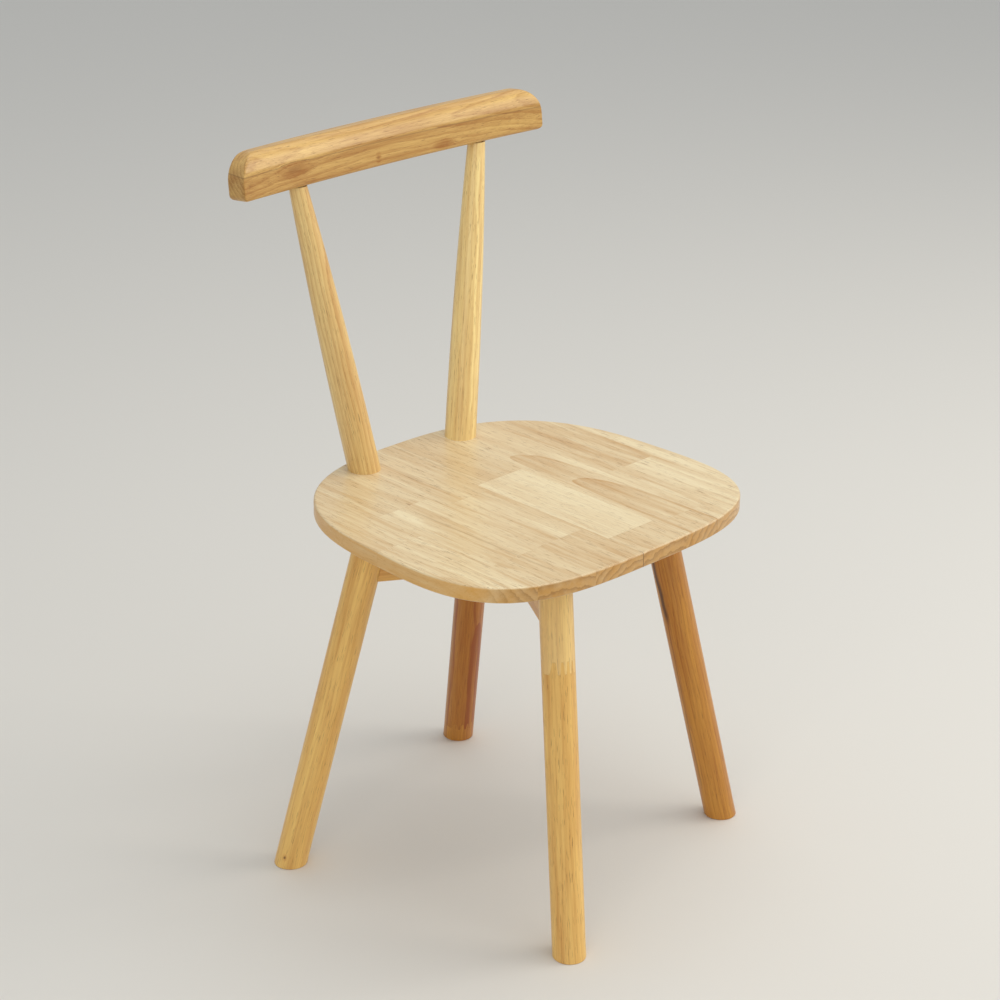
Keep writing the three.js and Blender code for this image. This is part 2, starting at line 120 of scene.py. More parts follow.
class ChairSeatSizes(bpy.types.PropertyGroup):
    """The seat panel's outline and edges."""

    half_width: length("Half width", 0.2265, "From the axis to the side at mid depth")
    front: length("Front", 0.209, "From the axis to the front edge")
    back: length("Back", 0.206, "From the axis to the back edge")
    taper: number("Taper", 0.06, "Width lost on each side per unit of depth toward the back")
    front_squareness: number("Front squareness", 3.36, "Superellipse exponent of the front half")
    back_squareness: number("Back squareness", 2.67, "Superellipse exponent of the back half")
    top_radius: length("Top edge", 0.0026, "Rounding of the rim's upper edge")
    under_radius: length("Lower edge", 0.0018, "Rounding of the rim's lower edge")
    glue_gap: length("Glue line", 0.00005, "What each board stays back from its neighbour")


class ChairBackSizes(bpy.types.PropertyGroup):
    """The two posts and the crest rail."""

    post_x: length("Post base X", 0.078, "Middle of the post on the seat, from the centre line")
    post_y: length("Post base Y", 0.1728, "Middle of the post on the seat, behind the axis")
    post_base: length("Post base diameter", 0.0376, "Thickness of the post on the seat")
    post_top: length("Post top diameter", 0.0205, "Thickness of the post under the rail")
    spread: number("Post spread", 0.1776, "Outward travel per unit of height")
    lean: number("Back lean", 0.1202, "Rearward travel per unit of height")
    tenon: length("Seat tenon diameter", 0.018, "Post tenon that enters the seat")
    tenon_depth: length("Seat tenon depth", 0.009, "How far that tenon enters the seat")
    rail_tenon: length("Rail tenon diameter", 0.014, "Post tenon that enters the rail")
    rail_tenon_depth: length("Rail tenon depth", 0.022, "How far that tenon enters the rail")
    rail_rise: length("Rail rise", 0.346, "Seat top to the rail's front lower edge")
    rail_setback: length("Rail setback", 0.0126, "Post axis behind that edge")
    rail_length: length("Rail length", 0.462, "Overall, along the chord")
    rail_bow: length("Rail bow", 0.013, "Middle of the rail behind its ends")
    rail_thick: length("Rail thickness", 0.028, "Front to back")
    rail_height: length("Rail height", 0.052, "Along the leaned face")
    rail_face: length("Rail face", 0.032, "Upright part of the front face")
    rail_roll: length("Rail roll", 0.0127, "How far back the rolled upper edge reaches")
    rail_edge: length("Rail edges", 0.005, "Rounding of the other long edges")
    rail_top_corner: length("Rail upper corners", 0.032, "Seen from the front")
    rail_low_corner: length("Rail lower corners", 0.007, "Seen from the front")
    rail_arris: length("Rail end arris", 0.0018, "Rounding where the ends meet the faces")


class ChairBaseSizes(bpy.types.PropertyGroup):
    """Legs and cross battens."""

    leg_diameter: length("Leg diameter", 0.038, "Thickness of the round legs")
    foot_ease: length("Foot easing", 0.0012, "Rounding of the leg's cut ends")
    batten_thick: length("Batten thickness", 0.024, "Seen from above")
    batten_ease: length("Batten edges", 0.0015, "Rounding of the batten's long edges")
    tenon_thick: length("Tenon thickness", 0.01, "Batten tenon in the leg")
    tenon_height: length("Tenon height", 0.034, "Batten tenon in the leg")
    tenon_length: length("Tenon length", 0.024, "How far it enters the leg at mid height")


class ChairMetalSizes(bpy.types.PropertyGroup):
    """Plates, ball race and screws."""

    plate_corner: length("Plate corner", 0.012, "Corner radius of the square plates")
    plate_opening: length("Plate opening", 0.04, "Radius of the round hole")
    plate_edge: length("Plate edge", 0.0005, "Rounding of the plates' pressed edges")
    race_edge: length("Race edge", 0.0004, "Rounding of the rings' edges")
    ball_radius: length("Ball radius", 0.0024, "Bearing balls")
    ball_circle: length("Ball circle", 0.0575, "Radius of the circle the balls run on")
    cage_half_width: length("Cage half width", 0.003, "Across the ring that spaces the balls")
    cage_thick: length("Cage thickness", 0.0014, "Height of that ring")
    shank: length("Screw shank", 0.004, "Diameter of the plate screws")
    head: length("Screw head", 0.0084, "Diameter of their heads")
    head_height: length("Screw head height", 0.0026, "Height of their heads")
    post_shank: length("Post screw shank", 0.0055, "Diameter of the post screws")
    post_head: length("Post screw head", 0.011, "Diameter of their heads")
    post_head_height: length("Post screw head height", 0.0035, "Height of their heads")
    post_reach: length("Post screw length", 0.055, "Under the head")
    post_web: length("Post screw web", 0.004, "Wood between the post's tenon and the head")
    pilot_gap: length("Pilot gap", 0.0003, "Room round each screw in wood")
    hole_gap: length("Hole gap", 0.0005, "Room round each screw in steel")


class ChairColours(bpy.types.PropertyGroup):
    """Colours of the lacquered wood and the metal."""

    # Seat pale and seat deep carry painted sheen: the seat's top is painted paler than the same wood
    # on the legs, as the overhead light makes it look.
    seat_pale: colour("Seat pale", tint(236, 219, 178), "Palest wood of the seat")
    seat_deep: colour("Seat deep", tint(194, 150, 90), "Darkest figure of the seat")
    post_pale: colour("Post pale", tint(255, 228, 156), "Palest wood of the posts")
    post_deep: colour("Post deep", tint(184, 120, 50), "Darkest figure of the posts")
    rail_pale: colour("Rail pale", tint(236, 198, 118), "Palest wood of the crest rail")
    rail_deep: colour("Rail deep", tint(162, 106, 40), "Darkest figure of the crest rail")
    leg_pale: colour("Leg pale", tint(255, 214, 124), "Palest wood of the legs")
    leg_deep: colour("Leg deep", tint(190, 116, 40), "Darkest figure of the legs")
    brown_pale: colour("Brown pale", tint(236, 176, 68), "Palest wood of the two brown legs")
    brown_deep: colour("Brown deep", tint(154, 78, 14), "Darkest figure of the brown legs")
    # The rim colour is painted shade: upright faces of the seat take this deeper gold, against the
    # sheen painted into the top's pale colours.
    rim: colour("Seat rim", tint(226, 164, 64), "Golden tone of the panel's edge")
    pore: colour("Pores", tint(120, 72, 28), "Open pores and glue lines")
    # This colour also paints the line of shade along the crest rail's crease.
    knot: colour("Knots", tint(72, 40, 18), "Knots and dark streaks")
    zinc: colour("Zinc", tint(168, 170, 172), "Plates and races")
    bright: colour("Bright steel", tint(205, 205, 204), "Balls and their cage")
    brass: colour("Yellow zinc", tint(190, 172, 118), "Screws")


class ChairStageSettings(bpy.types.PropertyGroup):
    """Floor, light and camera."""

    floor: colour("Floor", tint(222, 219, 212), "Plain pale floor")
    sky: colour("Sky", tint(236, 240, 244), "Even light from all round")
    sky_strength: number("Sky strength", 0.62, "Brightness of that light")
    key_power: number("Key power", 38.0, "Large light above")
    side_power: number("Side power", 42.0, "Softer light from the front right")
    fill_power: number("Fill power", 15.0, "Weak light from the front left")
    azimuth: number("Azimuth", -45.83, "Degrees round from straight in front")
    distance: length("Distance", 2.8032, "Camera to the swivel's axis, level")
    height: length("Height", 1.6398, "Camera above the floor")
    yaw: number("Yaw", 0.35, "Degrees that the camera looks off the axis")
    pitch: number("Pitch", 23.08, "Degrees that the camera looks down")
    roll: number("Roll", 1.11, "Degrees that the camera is tilted sideways")
    lens: number("Lens", 96.06, "Focal length in millimetres on a 36 mm sensor")
    shift_x: number("Shift X", -0.0019, "Share of the picture's width")
    shift_y: number("Shift Y", -0.0029, "Share of the picture's width")


GROUPS = {
    "chair_seat": ChairSeatSizes, "chair_back": ChairBackSizes, "chair_base": ChairBaseSizes,
    "chair_metal": ChairMetalSizes, "chair_colours": ChairColours,
    "chair_stage": ChairStageSettings,
}


# ---- Mesh tools ----------------------------------------------------------------------------


def mesh_from(solid, name):
    """Turns a bmesh into an object that is linked to the scene."""
    bmesh.ops.recalc_face_normals(solid, faces=solid.faces)
    mesh = bpy.data.meshes.new(name)
    solid.to_mesh(mesh)
    solid.free()
    piece = bpy.data.objects.new(name, mesh)
    bpy.context.scene.collection.objects.link(piece)
    return piece


def settle(piece):
    """Replaces a piece's mesh by the result of its modifiers."""
    depsgraph = bpy.context.evaluated_depsgraph_get()
    mesh = bpy.data.meshes.new_from_object(piece.evaluated_get(depsgraph))
    piece.modifiers.clear()
    old = piece.data
    piece.data = mesh
    mesh.name = piece.name
    bpy.data.meshes.remove(old)
    return piece


def carve(piece, tools, operation="DIFFERENCE"):
    """Cuts the tools from a piece, or joins them to it, and removes them."""
    for tool in tools:
        step = piece.modifiers.new("Carve", "BOOLEAN")
        step.operation = operation
        step.solver = "EXACT"
        step.object = tool
    settle(piece)
    for tool in tools:
        bpy.data.meshes.remove(tool.data)
    return piece


def hand_over(piece, material, body, slot, *nodes, sharp=32):
    """Shades a finished piece, puts it on its body and lets it stand for its frame nodes."""
    piece.data.materials.clear()
    piece.data.materials.append(material)
    piece.data.shade_smooth()
    piece.data.set_sharp_from_angle(angle=math.radians(sharp))
    weigh = piece.modifiers.new("Flat faces", "WEIGHTED_NORMAL")
    weigh.keep_sharp = True
    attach(piece, body)
    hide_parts(*nodes)
    return piece


def bridge(solid, rings, closed=False):
    """Joins neighbouring rings of points with quads and closes the two ends."""
    loops = [[solid.verts.new(point) for point in ring] for ring in rings]
    pairs = zip(loops, loops[1:] + loops[:1]) if closed else zip(loops, loops[1:])
    for lower, upper in pairs:
        count = len(lower)
        for i in range(count):
            j = (i + 1) % count
            solid.faces.new((lower[i], lower[j], upper[j], upper[i]))
    if not closed:
        solid.faces.new(loops[0])
        solid.faces.new(loops[-1])
    return loops


def lathe(name, profile, sides=64, place=None):
    """A body turned round Z from [radius, height] points; the first and last are on the axis."""
    solid = bmesh.new()
    bottom = solid.verts.new((0, 0, profile[0][1]))
    top = solid.verts.new((0, 0, profile[-1][1]))
    rings = []
    for radius, height in profile[1:-1]:
        turns = [2 * math.pi * i / sides for i in range(sides)]
        rings.append([solid.verts.new((radius * math.cos(t), radius * math.sin(t), height))
                      for t in turns])
    for i in range(sides):
        j = (i + 1) % sides
        solid.faces.new((bottom, rings[0][j], rings[0][i]))
        solid.faces.new((top, rings[-1][i], rings[-1][j]))
        for lower, upper in zip(rings, rings[1:]):
            solid.faces.new((lower[i], lower[j], upper[j], upper[i]))
    piece = mesh_from(solid, name)
    if place is not None:
        piece.data.transform(place)
    return piece


def turned_ring(name, outline, sides=160):
    """A ring turned round Z from a closed [radius, height] outline."""
    solid = bmesh.new()
    rings = []
    for i in range(sides):
        turn = 2 * math.pi * i / sides
        rings.append([(r * math.cos(turn), r * math.sin(turn), h) for r, h in outline])
    bridge(solid, rings, closed=True)
    return mesh_from(solid, name)


def softened(outline, radius, steps=3):
    """Rounds every corner of a closed outline of straight stretches."""
    points = [Vector(point) for point in outline]
    rounded = []
    for before, corner, after in zip(points[-1:] + points, points, points[1:] + points[:1]):
        reach = min(radius, (before - corner).length / 2.2, (after - corner).length / 2.2)
        start = corner + (before - corner).normalized() * reach
        end = corner + (after - corner).normalized() * reach
        for i in range(steps + 1):
            share = i / steps
            rounded.append(tuple(start.lerp(corner, share).lerp(corner.lerp(end, share), share)))
    return rounded


def block(name, low, high, ease=0.0, place=None):
    """A box between two corners, with eased edges."""
    solid = bmesh.new()
    bmesh.ops.create_cube(solid, size=1)
    low, high = Vector(low), Vector(high)
    span = high - low
    bmesh.ops.scale(solid, vec=span, verts=solid.verts)
    bmesh.ops.translate(solid, vec=(low + high) / 2, verts=solid.verts)
    if ease:
        bmesh.ops.bevel(solid, geom=solid.edges[:], offset=ease, segments=3, profile=0.5,
                        affect="EDGES")
    piece = mesh_from(solid, name)
    if place is not None:
        piece.data.transform(place)
    return piece


def rod(name, radius, start, end, sides=64):
    """A plain round cutter between two points."""
    axis = Vector(end) - Vector(start)
    place = Matrix.Translation(start) @ axis.to_track_quat("Z", "Y").to_matrix().to_4x4()
    return lathe(name, [(0, 0), (radius, 0), (radius, axis.length), (0, axis.length)],
                 sides, place)


def arc(centre, radius, start, end, steps):
    """Points of a circular arc, in degrees, both ends included."""
    turns = [math.radians(start + (end - start) * i / steps) for i in range(steps + 1)]
    return [(centre[0] + radius * math.cos(t), centre[1] + radius * math.sin(t)) for t in turns]


# ---- Shader tools --------------------------------------------------------------------------


PLAIN_MATH = {"ADD": operator.add, "SUBTRACT": operator.sub, "MULTIPLY": operator.mul,
              "DIVIDE": operator.truediv, "MAXIMUM": max, "MINIMUM": min}


class Sheet:
    """Short calls that fill one node tree and lay its nodes out from left to right."""

    def __init__(self, tree):
        self.tree = tree
        self.count = 0

    def add(self, kind, inputs=None, **settings):
        node = self.tree.nodes.new(kind)
        node.location = (220 * (self.count // 5), -190 * (self.count % 5))
        self.count += 1
        for key, value in settings.items():
            setattr(node, key, value)
        for key, value in (inputs or {}).items():
            self.feed(node.inputs[key], value)
        return node

    def feed(self, socket, value):
        if isinstance(value, bpy.types.NodeSocket):
            self.tree.links.new(value, socket)
        else:
            socket.default_value = value

    def math(self, operation, *values):
        if not any(isinstance(value, bpy.types.NodeSocket) for value in values):
            return PLAIN_MATH[operation](*values)
        return self.add("ShaderNodeMath", dict(enumerate(values)), operation=operation).outputs[0]

    def vector(self, operation, *values):
        node = self.add("ShaderNodeVectorMath", dict(enumerate(values)), operation=operation)
        return node.outputs["Value" if operation in ("LENGTH", "DOT_PRODUCT") else "Vector"]

    def split(self, value):
        return self.add("ShaderNodeSeparateXYZ", {0: value}).outputs

    def join(self, x, y, z):
        return self.add("ShaderNodeCombineXYZ", {0: x, 1: y, 2: z}).outputs[0]

    def noise(self, place, stretch, detail=2.0, roughness=0.5):
        scaled = self.vector("MULTIPLY", place, stretch)
        node = self.add("ShaderNodeTexNoise", {
            "Vector": scaled, "Scale": 1.0, "Detail": detail, "Roughness": roughness})
        return node.outputs["Fac"]

    def step(self, value, low, high, start=0.0, end=1.0):
        node = self.add("ShaderNodeMapRange", {
            "Value": value, "From Min": low, "From Max": high, "To Min": start, "To Max": end},
            interpolation_type="SMOOTHSTEP")
        return node.outputs["Result"]

    def mix(self, share, first, second):
        node = self.add("ShaderNodeMix", data_type="RGBA")
        self.feed(node.inputs["Factor"], share)
        self.feed(node.inputs[6], first)
        self.feed(node.inputs[7], second)
        return node.outputs[2]

    def group(self, tree, **inputs):
        node = self.add("ShaderNodeGroup", node_tree=tree)
        for key, value in inputs.items():
            self.feed(node.inputs[key.replace("_", " ")], value)
        return node.outputs


def shader_group(name, inputs, outputs):
    """An empty node group with named sockets: its sheet, its inputs and its output node."""
    tree = bpy.data.node_groups.new(name, "ShaderNodeTree")
    kinds = {"V": "NodeSocketVector", "F": "NodeSocketFloat", "C": "NodeSocketColor"}
    for label, kind, *default in inputs:
        socket = tree.interface.new_socket(label, in_out="INPUT", socket_type=kinds[kind])
        if default:
            socket.default_value = default[0]
    for label, kind in outputs:
        tree.interface.new_socket(label, in_out="OUTPUT", socket_type=kinds[kind])
    sheet = Sheet(tree)
    source = sheet.add("NodeGroupInput").outputs
    return sheet, source, sheet.add("NodeGroupOutput")


def build_figure_group():
    """Growth rings, broad bands, fibres and open pores of timber whose grain runs along Z."""
    sheet, given, out = shader_group("Wood figure", [
        ("Place", "V"), ("Heart X", "F", 60.0), ("Heart Y", "F", 30.0),
        ("Ring Width", "F", 6.0), ("Wander", "F", 8.0), ("Seed", "F", 0.0)],
        [("Rings", "F"), ("Bands", "F"), ("Fibres", "F"), ("Pores", "F")])
    apart = sheet.join(*(sheet.math("MULTIPLY", given["Seed"], step) for step in (37, 59, 171)))
    place = sheet.vector("ADD", given["Place"], apart)
    x, y, _ = sheet.split(given["Place"])
    sway = sheet.noise(place, (0.016, 0.016, 0.005), 1.0)
    lift = sheet.noise(sheet.vector("ADD", place, (90, 40, 10)), (0.014, 0.014, 0.006), 1.0)
    across = [
        sheet.math("ADD", sheet.math("SUBTRACT", value, heart), sheet.math(
            "MULTIPLY", sheet.math("SUBTRACT", drift, 0.5), given["Wander"]))
        for value, heart, drift in ((x, given["Heart X"], sway), (y, given["Heart Y"], lift))]
    reach = sheet.vector("LENGTH", sheet.join(across[0], across[1], 0.0))
    ripple = sheet.noise(place, (0.12, 0.12, 0.012), 2.0)
    phase = sheet.math("ADD", sheet.math("DIVIDE", reach, given["Ring Width"]), ripple)
    turn = sheet.math("FRACT", phase)
    rise = sheet.math("POWER", turn, 2.2)
    fall = sheet.step(turn, 0.86, 1.0, 1.0, 0.0)
    sheet.feed(out.inputs["Rings"], sheet.math("MULTIPLY", rise, fall))
    sheet.feed(out.inputs["Bands"], sheet.noise(place, (0.07, 0.07, 0.0045), 3.0, 0.55))
    sheet.feed(out.inputs["Fibres"], sheet.noise(place, (0.85, 0.85, 0.022), 3.0, 0.6))
    dashes = sheet.noise(place, (1.5, 1.5, 0.06), 1.0, 0.5)
    sheet.feed(out.inputs["Pores"], sheet.step(dashes, 0.63, 0.72))
    return sheet.tree


def build_tone_group():
    """Mixes pale and deep wood from a tone and the figure, and lays the pores over it."""
    sheet, given, out = shader_group("Wood tone", [
        ("Pale", "C"), ("Deep", "C"), ("Pore", "C"), ("Tone", "F", 0.5), ("Rings", "F"),
        ("Bands", "F"), ("Fibres", "F"), ("Pores", "F"), ("Ring Depth", "F", 0.25),
        ("Band Depth", "F", 0.8), ("Fibre Depth", "F", 0.35), ("Pore Depth", "F", 0.35)],
        [("Color", "C"), ("Depth", "F")])
    depth = sheet.math("SUBTRACT", 1.0, given["Tone"])
    depth = sheet.math("ADD", depth, sheet.math("MULTIPLY", given["Rings"], given["Ring Depth"]))
    for value, strength in (("Bands", "Band Depth"), ("Fibres", "Fibre Depth")):
        swing = sheet.math("SUBTRACT", given[value], 0.5)
        depth = sheet.math("ADD", depth, sheet.math("MULTIPLY", swing, given[strength]))
    depth = sheet.math("MAXIMUM", sheet.math("MINIMUM", depth, 1.15), 0.0)
    plain = sheet.mix(depth, given["Pale"], given["Deep"])
    pores = sheet.math("MULTIPLY", given["Pores"], given["Pore Depth"])
    sheet.feed(out.inputs["Color"], sheet.mix(pores, plain, given["Pore"]))
    sheet.feed(out.inputs["Depth"], depth)
    return sheet.tree


def build_joint_group():
    """A finger joint across the grain: which side of it a point is on, and its glue line."""
    sheet, given, out = shader_group("Finger joint", [
        ("Place", "V"), ("Cut", "F", 0.0), ("Finger Length", "F", 12.0), ("Pitch", "F", 6.5)],
        [("Beyond", "F"), ("Glue", "F")])
    x, _, z = sheet.split(given["Place"])
    half = sheet.math("DIVIDE", given["Pitch"], 2.0)
    wave = sheet.math("DIVIDE", sheet.math("PINGPONG", x, half), half)
    swing = sheet.math("MULTIPLY", sheet.step(wave, 0.25, 0.75, -0.5, 0.5), given["Finger Length"])
    past = sheet.math("SUBTRACT", z, sheet.math("ADD", given["Cut"], swing))
    sheet.feed(out.inputs["Beyond"], sheet.step(past, -0.4, 0.4))
    near = sheet.math("ABSOLUTE", past)
    sheet.feed(out.inputs["Glue"], sheet.step(near, 0.3, 1.1, 1.0, 0.0))
    return sheet.tree


def build_knot_group():
    """A small knot: its dark core, the stain round it, and the grain bent past it."""
    sheet, given, out = shader_group("Knot", [
        ("Place", "V"), ("Centre", "V"), ("Radius", "F", 3.0), ("Drawn Out", "F", 2.5)],
        [("Core", "F"), ("Stain", "F"), ("Bent Place", "V")])
    away = sheet.vector("SUBTRACT", given["Place"], given["Centre"])
    x, y, z = sheet.split(away)
    squeezed = sheet.join(x, y, sheet.math("DIVIDE", z, given["Drawn Out"]))
    uneven = sheet.noise(given["Place"], (0.5, 0.5, 0.2), 2.0)
    reach = sheet.math("DIVIDE", sheet.vector("LENGTH", squeezed), given["Radius"])
    reach = sheet.math("ADD", reach, sheet.math("SUBTRACT", uneven, 0.5))
    sheet.feed(out.inputs["Core"], sheet.step(reach, 0.55, 1.1, 1.0, 0.0))
    stain = sheet.step(reach, 0.8, 3.2, 1.0, 0.0)
    sheet.feed(out.inputs["Stain"], stain)
    push = sheet.math("MULTIPLY", stain, -0.55)
    bend = sheet.vector("MULTIPLY", away, sheet.join(push, push, 0.0))
    sheet.feed(out.inputs["Bent Place"], sheet.vector("ADD", given["Place"], bend))
    return sheet.tree


def build_flame_group():
    """A pointed growth-ring figure that widens from its tip toward smaller Z."""
    sheet, given, out = shader_group("Flame", [
        ("Place", "V"), ("Tip X", "F"), ("Tip Z", "F"), ("Left", "F", 14.0),
        ("Right", "F", 40.0), ("Spread", "F", 40.0)],
        [("Inside", "F"), ("Rim", "F")])
    x, _, z = sheet.split(given["Place"])
    wobble = sheet.noise(given["Place"], (0.05, 0.05, 0.02), 2.0)
    z = sheet.math("ADD", z, sheet.math("MULTIPLY", sheet.math("SUBTRACT", wobble, 0.5), 22.0))
    depth = sheet.math("MAXIMUM", sheet.math("SUBTRACT", given["Tip Z"], z), 0.0)
    opening = sheet.math("SQRT", sheet.math("DIVIDE", depth, sheet.math(
        "ADD", depth, given["Spread"])))
    side = sheet.math("SUBTRACT", x, given["Tip X"])
    right = sheet.math("SUBTRACT", sheet.math("MULTIPLY", opening, given["Right"]), side)
    left = sheet.math("ADD", sheet.math("MULTIPLY", opening, given["Left"]), side)
    inner = sheet.math("MINIMUM", left, right)
    inside = sheet.step(inner, -0.6, 1.2)
    fade = sheet.step(depth, 10.0, 150.0, 1.0, 0.25)
    sheet.feed(out.inputs["Inside"], sheet.math("MULTIPLY", inside, fade))
    rim = sheet.math("MULTIPLY", inside, sheet.step(inner, 0.5, 7.0, 1.0, 0.0))
    sheet.feed(out.inputs["Rim"], rim)
    return sheet.tree


def build_end_grain_group():
    """How far a surface is cut across the grain, from its own normal and the grain's line."""
    sheet, given, out = shader_group(
        "End grain", [("Normal", "V"), ("Grain", "V")], [("Share", "F")])
    along = sheet.math("ABSOLUTE", sheet.vector("DOT_PRODUCT", given["Normal"], given["Grain"]))
    sheet.feed(out.inputs["Share"], sheet.step(along, 0.45, 0.95))
    return sheet.tree


def build_lacquer_group():
    """Roughness and height of thin satin lacquer that sinks a little into pores and fibres."""
    sheet, given, out = shader_group("Satin lacquer", [
        ("Place", "V"), ("Fibres", "F"), ("Pores", "F"), ("Base", "F", 0.36)],
        [("Roughness", "F"), ("Height", "F")])
    cloud = sheet.noise(given["Place"], (0.02, 0.02, 0.008), 2.0)
    rough = sheet.math("ADD", given["Base"], sheet.math(
        "MULTIPLY", sheet.math("SUBTRACT", cloud, 0.5), 0.18))
    rough = sheet.math("ADD", rough, sheet.math("MULTIPLY", given["Pores"], 0.12))
    sheet.feed(out.inputs["Roughness"], sheet.math(
        "ADD", rough, sheet.math("MULTIPLY", given["Fibres"], 0.06)))
    peel = sheet.noise(given["Place"], (0.35, 0.35, 0.2), 1.0)
    height = sheet.math("ADD", sheet.math("MULTIPLY", given["Fibres"], 0.35), sheet.math(
        "MULTIPLY", peel, 0.25))
    sheet.feed(out.inputs["Height"], sheet.math(
        "SUBTRACT", height, sheet.math("MULTIPLY", given["Pores"], 0.5)))
    return sheet.tree


def build_plating_group():
    """Zinc plating: cloudy spangle, fine drawing lines and a dull bloom."""
    sheet, given, out = shader_group("Plating", [
        ("Place", "V"), ("Tint", "C"), ("Bloom", "C"), ("Base", "F", 0.3)],
        [("Color", "C"), ("Roughness", "F"), ("Height", "F")])
    cloud = sheet.noise(given["Place"], (0.12, 0.12, 0.12), 3.0, 0.6)
    lines = sheet.noise(given["Place"], (0.15, 3.0, 3.0), 2.0)
    share = sheet.step(cloud, 0.4, 0.7)
    sheet.feed(out.inputs["Color"], sheet.mix(share, given["Tint"], given["Bloom"]))
    rough = sheet.math("ADD", given["Base"], sheet.math("MULTIPLY", cloud, 0.2))
    sheet.feed(out.inputs["Roughness"], sheet.math(
        "ADD", rough, sheet.math("MULTIPLY", lines, 0.08)))
    sheet.feed(out.inputs["Height"], sheet.math("MULTIPLY", lines, 0.3))
    return sheet.tree


BUILDERS = {
    "Wood figure": build_figure_group, "Wood tone": build_tone_group,
    "Finger joint": build_joint_group, "Knot": build_knot_group, "Flame": build_flame_group,
    "End grain": build_end_grain_group, "Satin lacquer": build_lacquer_group,
    "Plating": build_plating_group,
}


def effect(name):
    """A shader group, built the first time it is asked for."""
    return bpy.data.node_groups.get(name) or BUILDERS[name]()


# ---- Wood ----------------------------------------------------------------------------------


class Timber:
    """One piece of wood: how it lies in the chair, its growth and its marks, in millimetres.

    start and along give the grain line; spin turns the timber about it. blocks are the tones
    of finger-jointed blocks from the lowest up, as (cut where the block starts, tone). streaks
    are (X, width, lowest Z, highest Z, strength), pale when the strength is negative; the pale
    ones down the right post's middle are painted highlight. Each step of painted light is (Y,
    change of tone above it): it makes the rail's upturned roll paler than its front face, with a
    thin line of painted shade along the crease between them. rim is how far upright faces take
    the rim colour, painted shade that sets the seat's edge deeper than its top, whose paleness
    is painted sheen. ends is how far cut ends darken, cream how far the blocks past the first
    are paler.

    Each knot is (centre, radius, drawn out, darkness). Each flame is
    (tip X, tip Z, left, right, spread, strength).
    """

    def __init__(self, start, along, spin=0.0, heart=(60.0, 30.0), ring=6.0, wander=8.0, seed=0.0,
                 blocks=((None, 0.6),), fingers=0.0, knots=(), flames=(), streaks=(), family="leg",
                 rings=0.22, bands=0.8, fibres=0.5, pores=0.5, gloss=0.36, glue=0.1,
                 layers=(), rim=0.0, ends=0.3, cream=0.0):
        self.start = Vector(start)
        self.along = Vector(along).normalized()
        self.spin = spin
        self.heart = heart
        self.ring = ring
        self.wander = wander
        self.seed = seed
        self.blocks = blocks
        self.fingers = fingers
        self.knots = knots
        self.flames = flames
        self.streaks = streaks
        self.family = family
        self.rings = rings
        self.bands = bands
        self.fibres = fibres
        self.pores = pores
        self.gloss = gloss
        self.glue = glue
        self.layers = layers
        self.rim = rim
        self.ends = ends
        self.cream = cream

    def turn(self):
        """Timber axes in the chair: Z is the grain."""
        across = Z_AXIS.cross(self.along)
        if across.length < 0.5:
            across = X_AXIS
        across = (across - self.along * across.dot(self.along)).normalized()
        other = self.along.cross(across)
        basis = Matrix((across, other, self.along)).transposed()
        return basis @ Matrix.Rotation(math.radians(self.spin), 3, "Z")


def timber_place(sheet, timber):
    """Millimetres along the timber's own axes."""
    spot = sheet.add("ShaderNodeTexCoord")
    mapping = sheet.add("ShaderNodeMapping", {
        "Vector": spot.outputs["Object"], "Location": timber.start,
        "Rotation": timber.turn().to_euler(), "Scale": (MM, MM, MM)}, vector_type="TEXTURE")
    return mapping.outputs[0], spot.outputs["Normal"]


def block_tones(sheet, place, timber):
    """Tone of the finger-jointed block that a point is in, a number for it, and its joints."""
    tone = timber.blocks[0][1]
    index = 0.0
    glue = 0.0
    for cut, next_tone in timber.blocks[1:]:
        joint = sheet.group(effect("Finger joint"), Place=place, Cut=float(cut),
                            Finger_Length=timber.fingers)
        last = tone
        tone = sheet.math("ADD", last, sheet.math("MULTIPLY", joint["Beyond"], sheet.math(
            "SUBTRACT", next_tone, last)))
        index = sheet.math("ADD", index, joint["Beyond"])
        glue = sheet.math("MAXIMUM", glue, joint["Glue"])
    return tone, index, glue


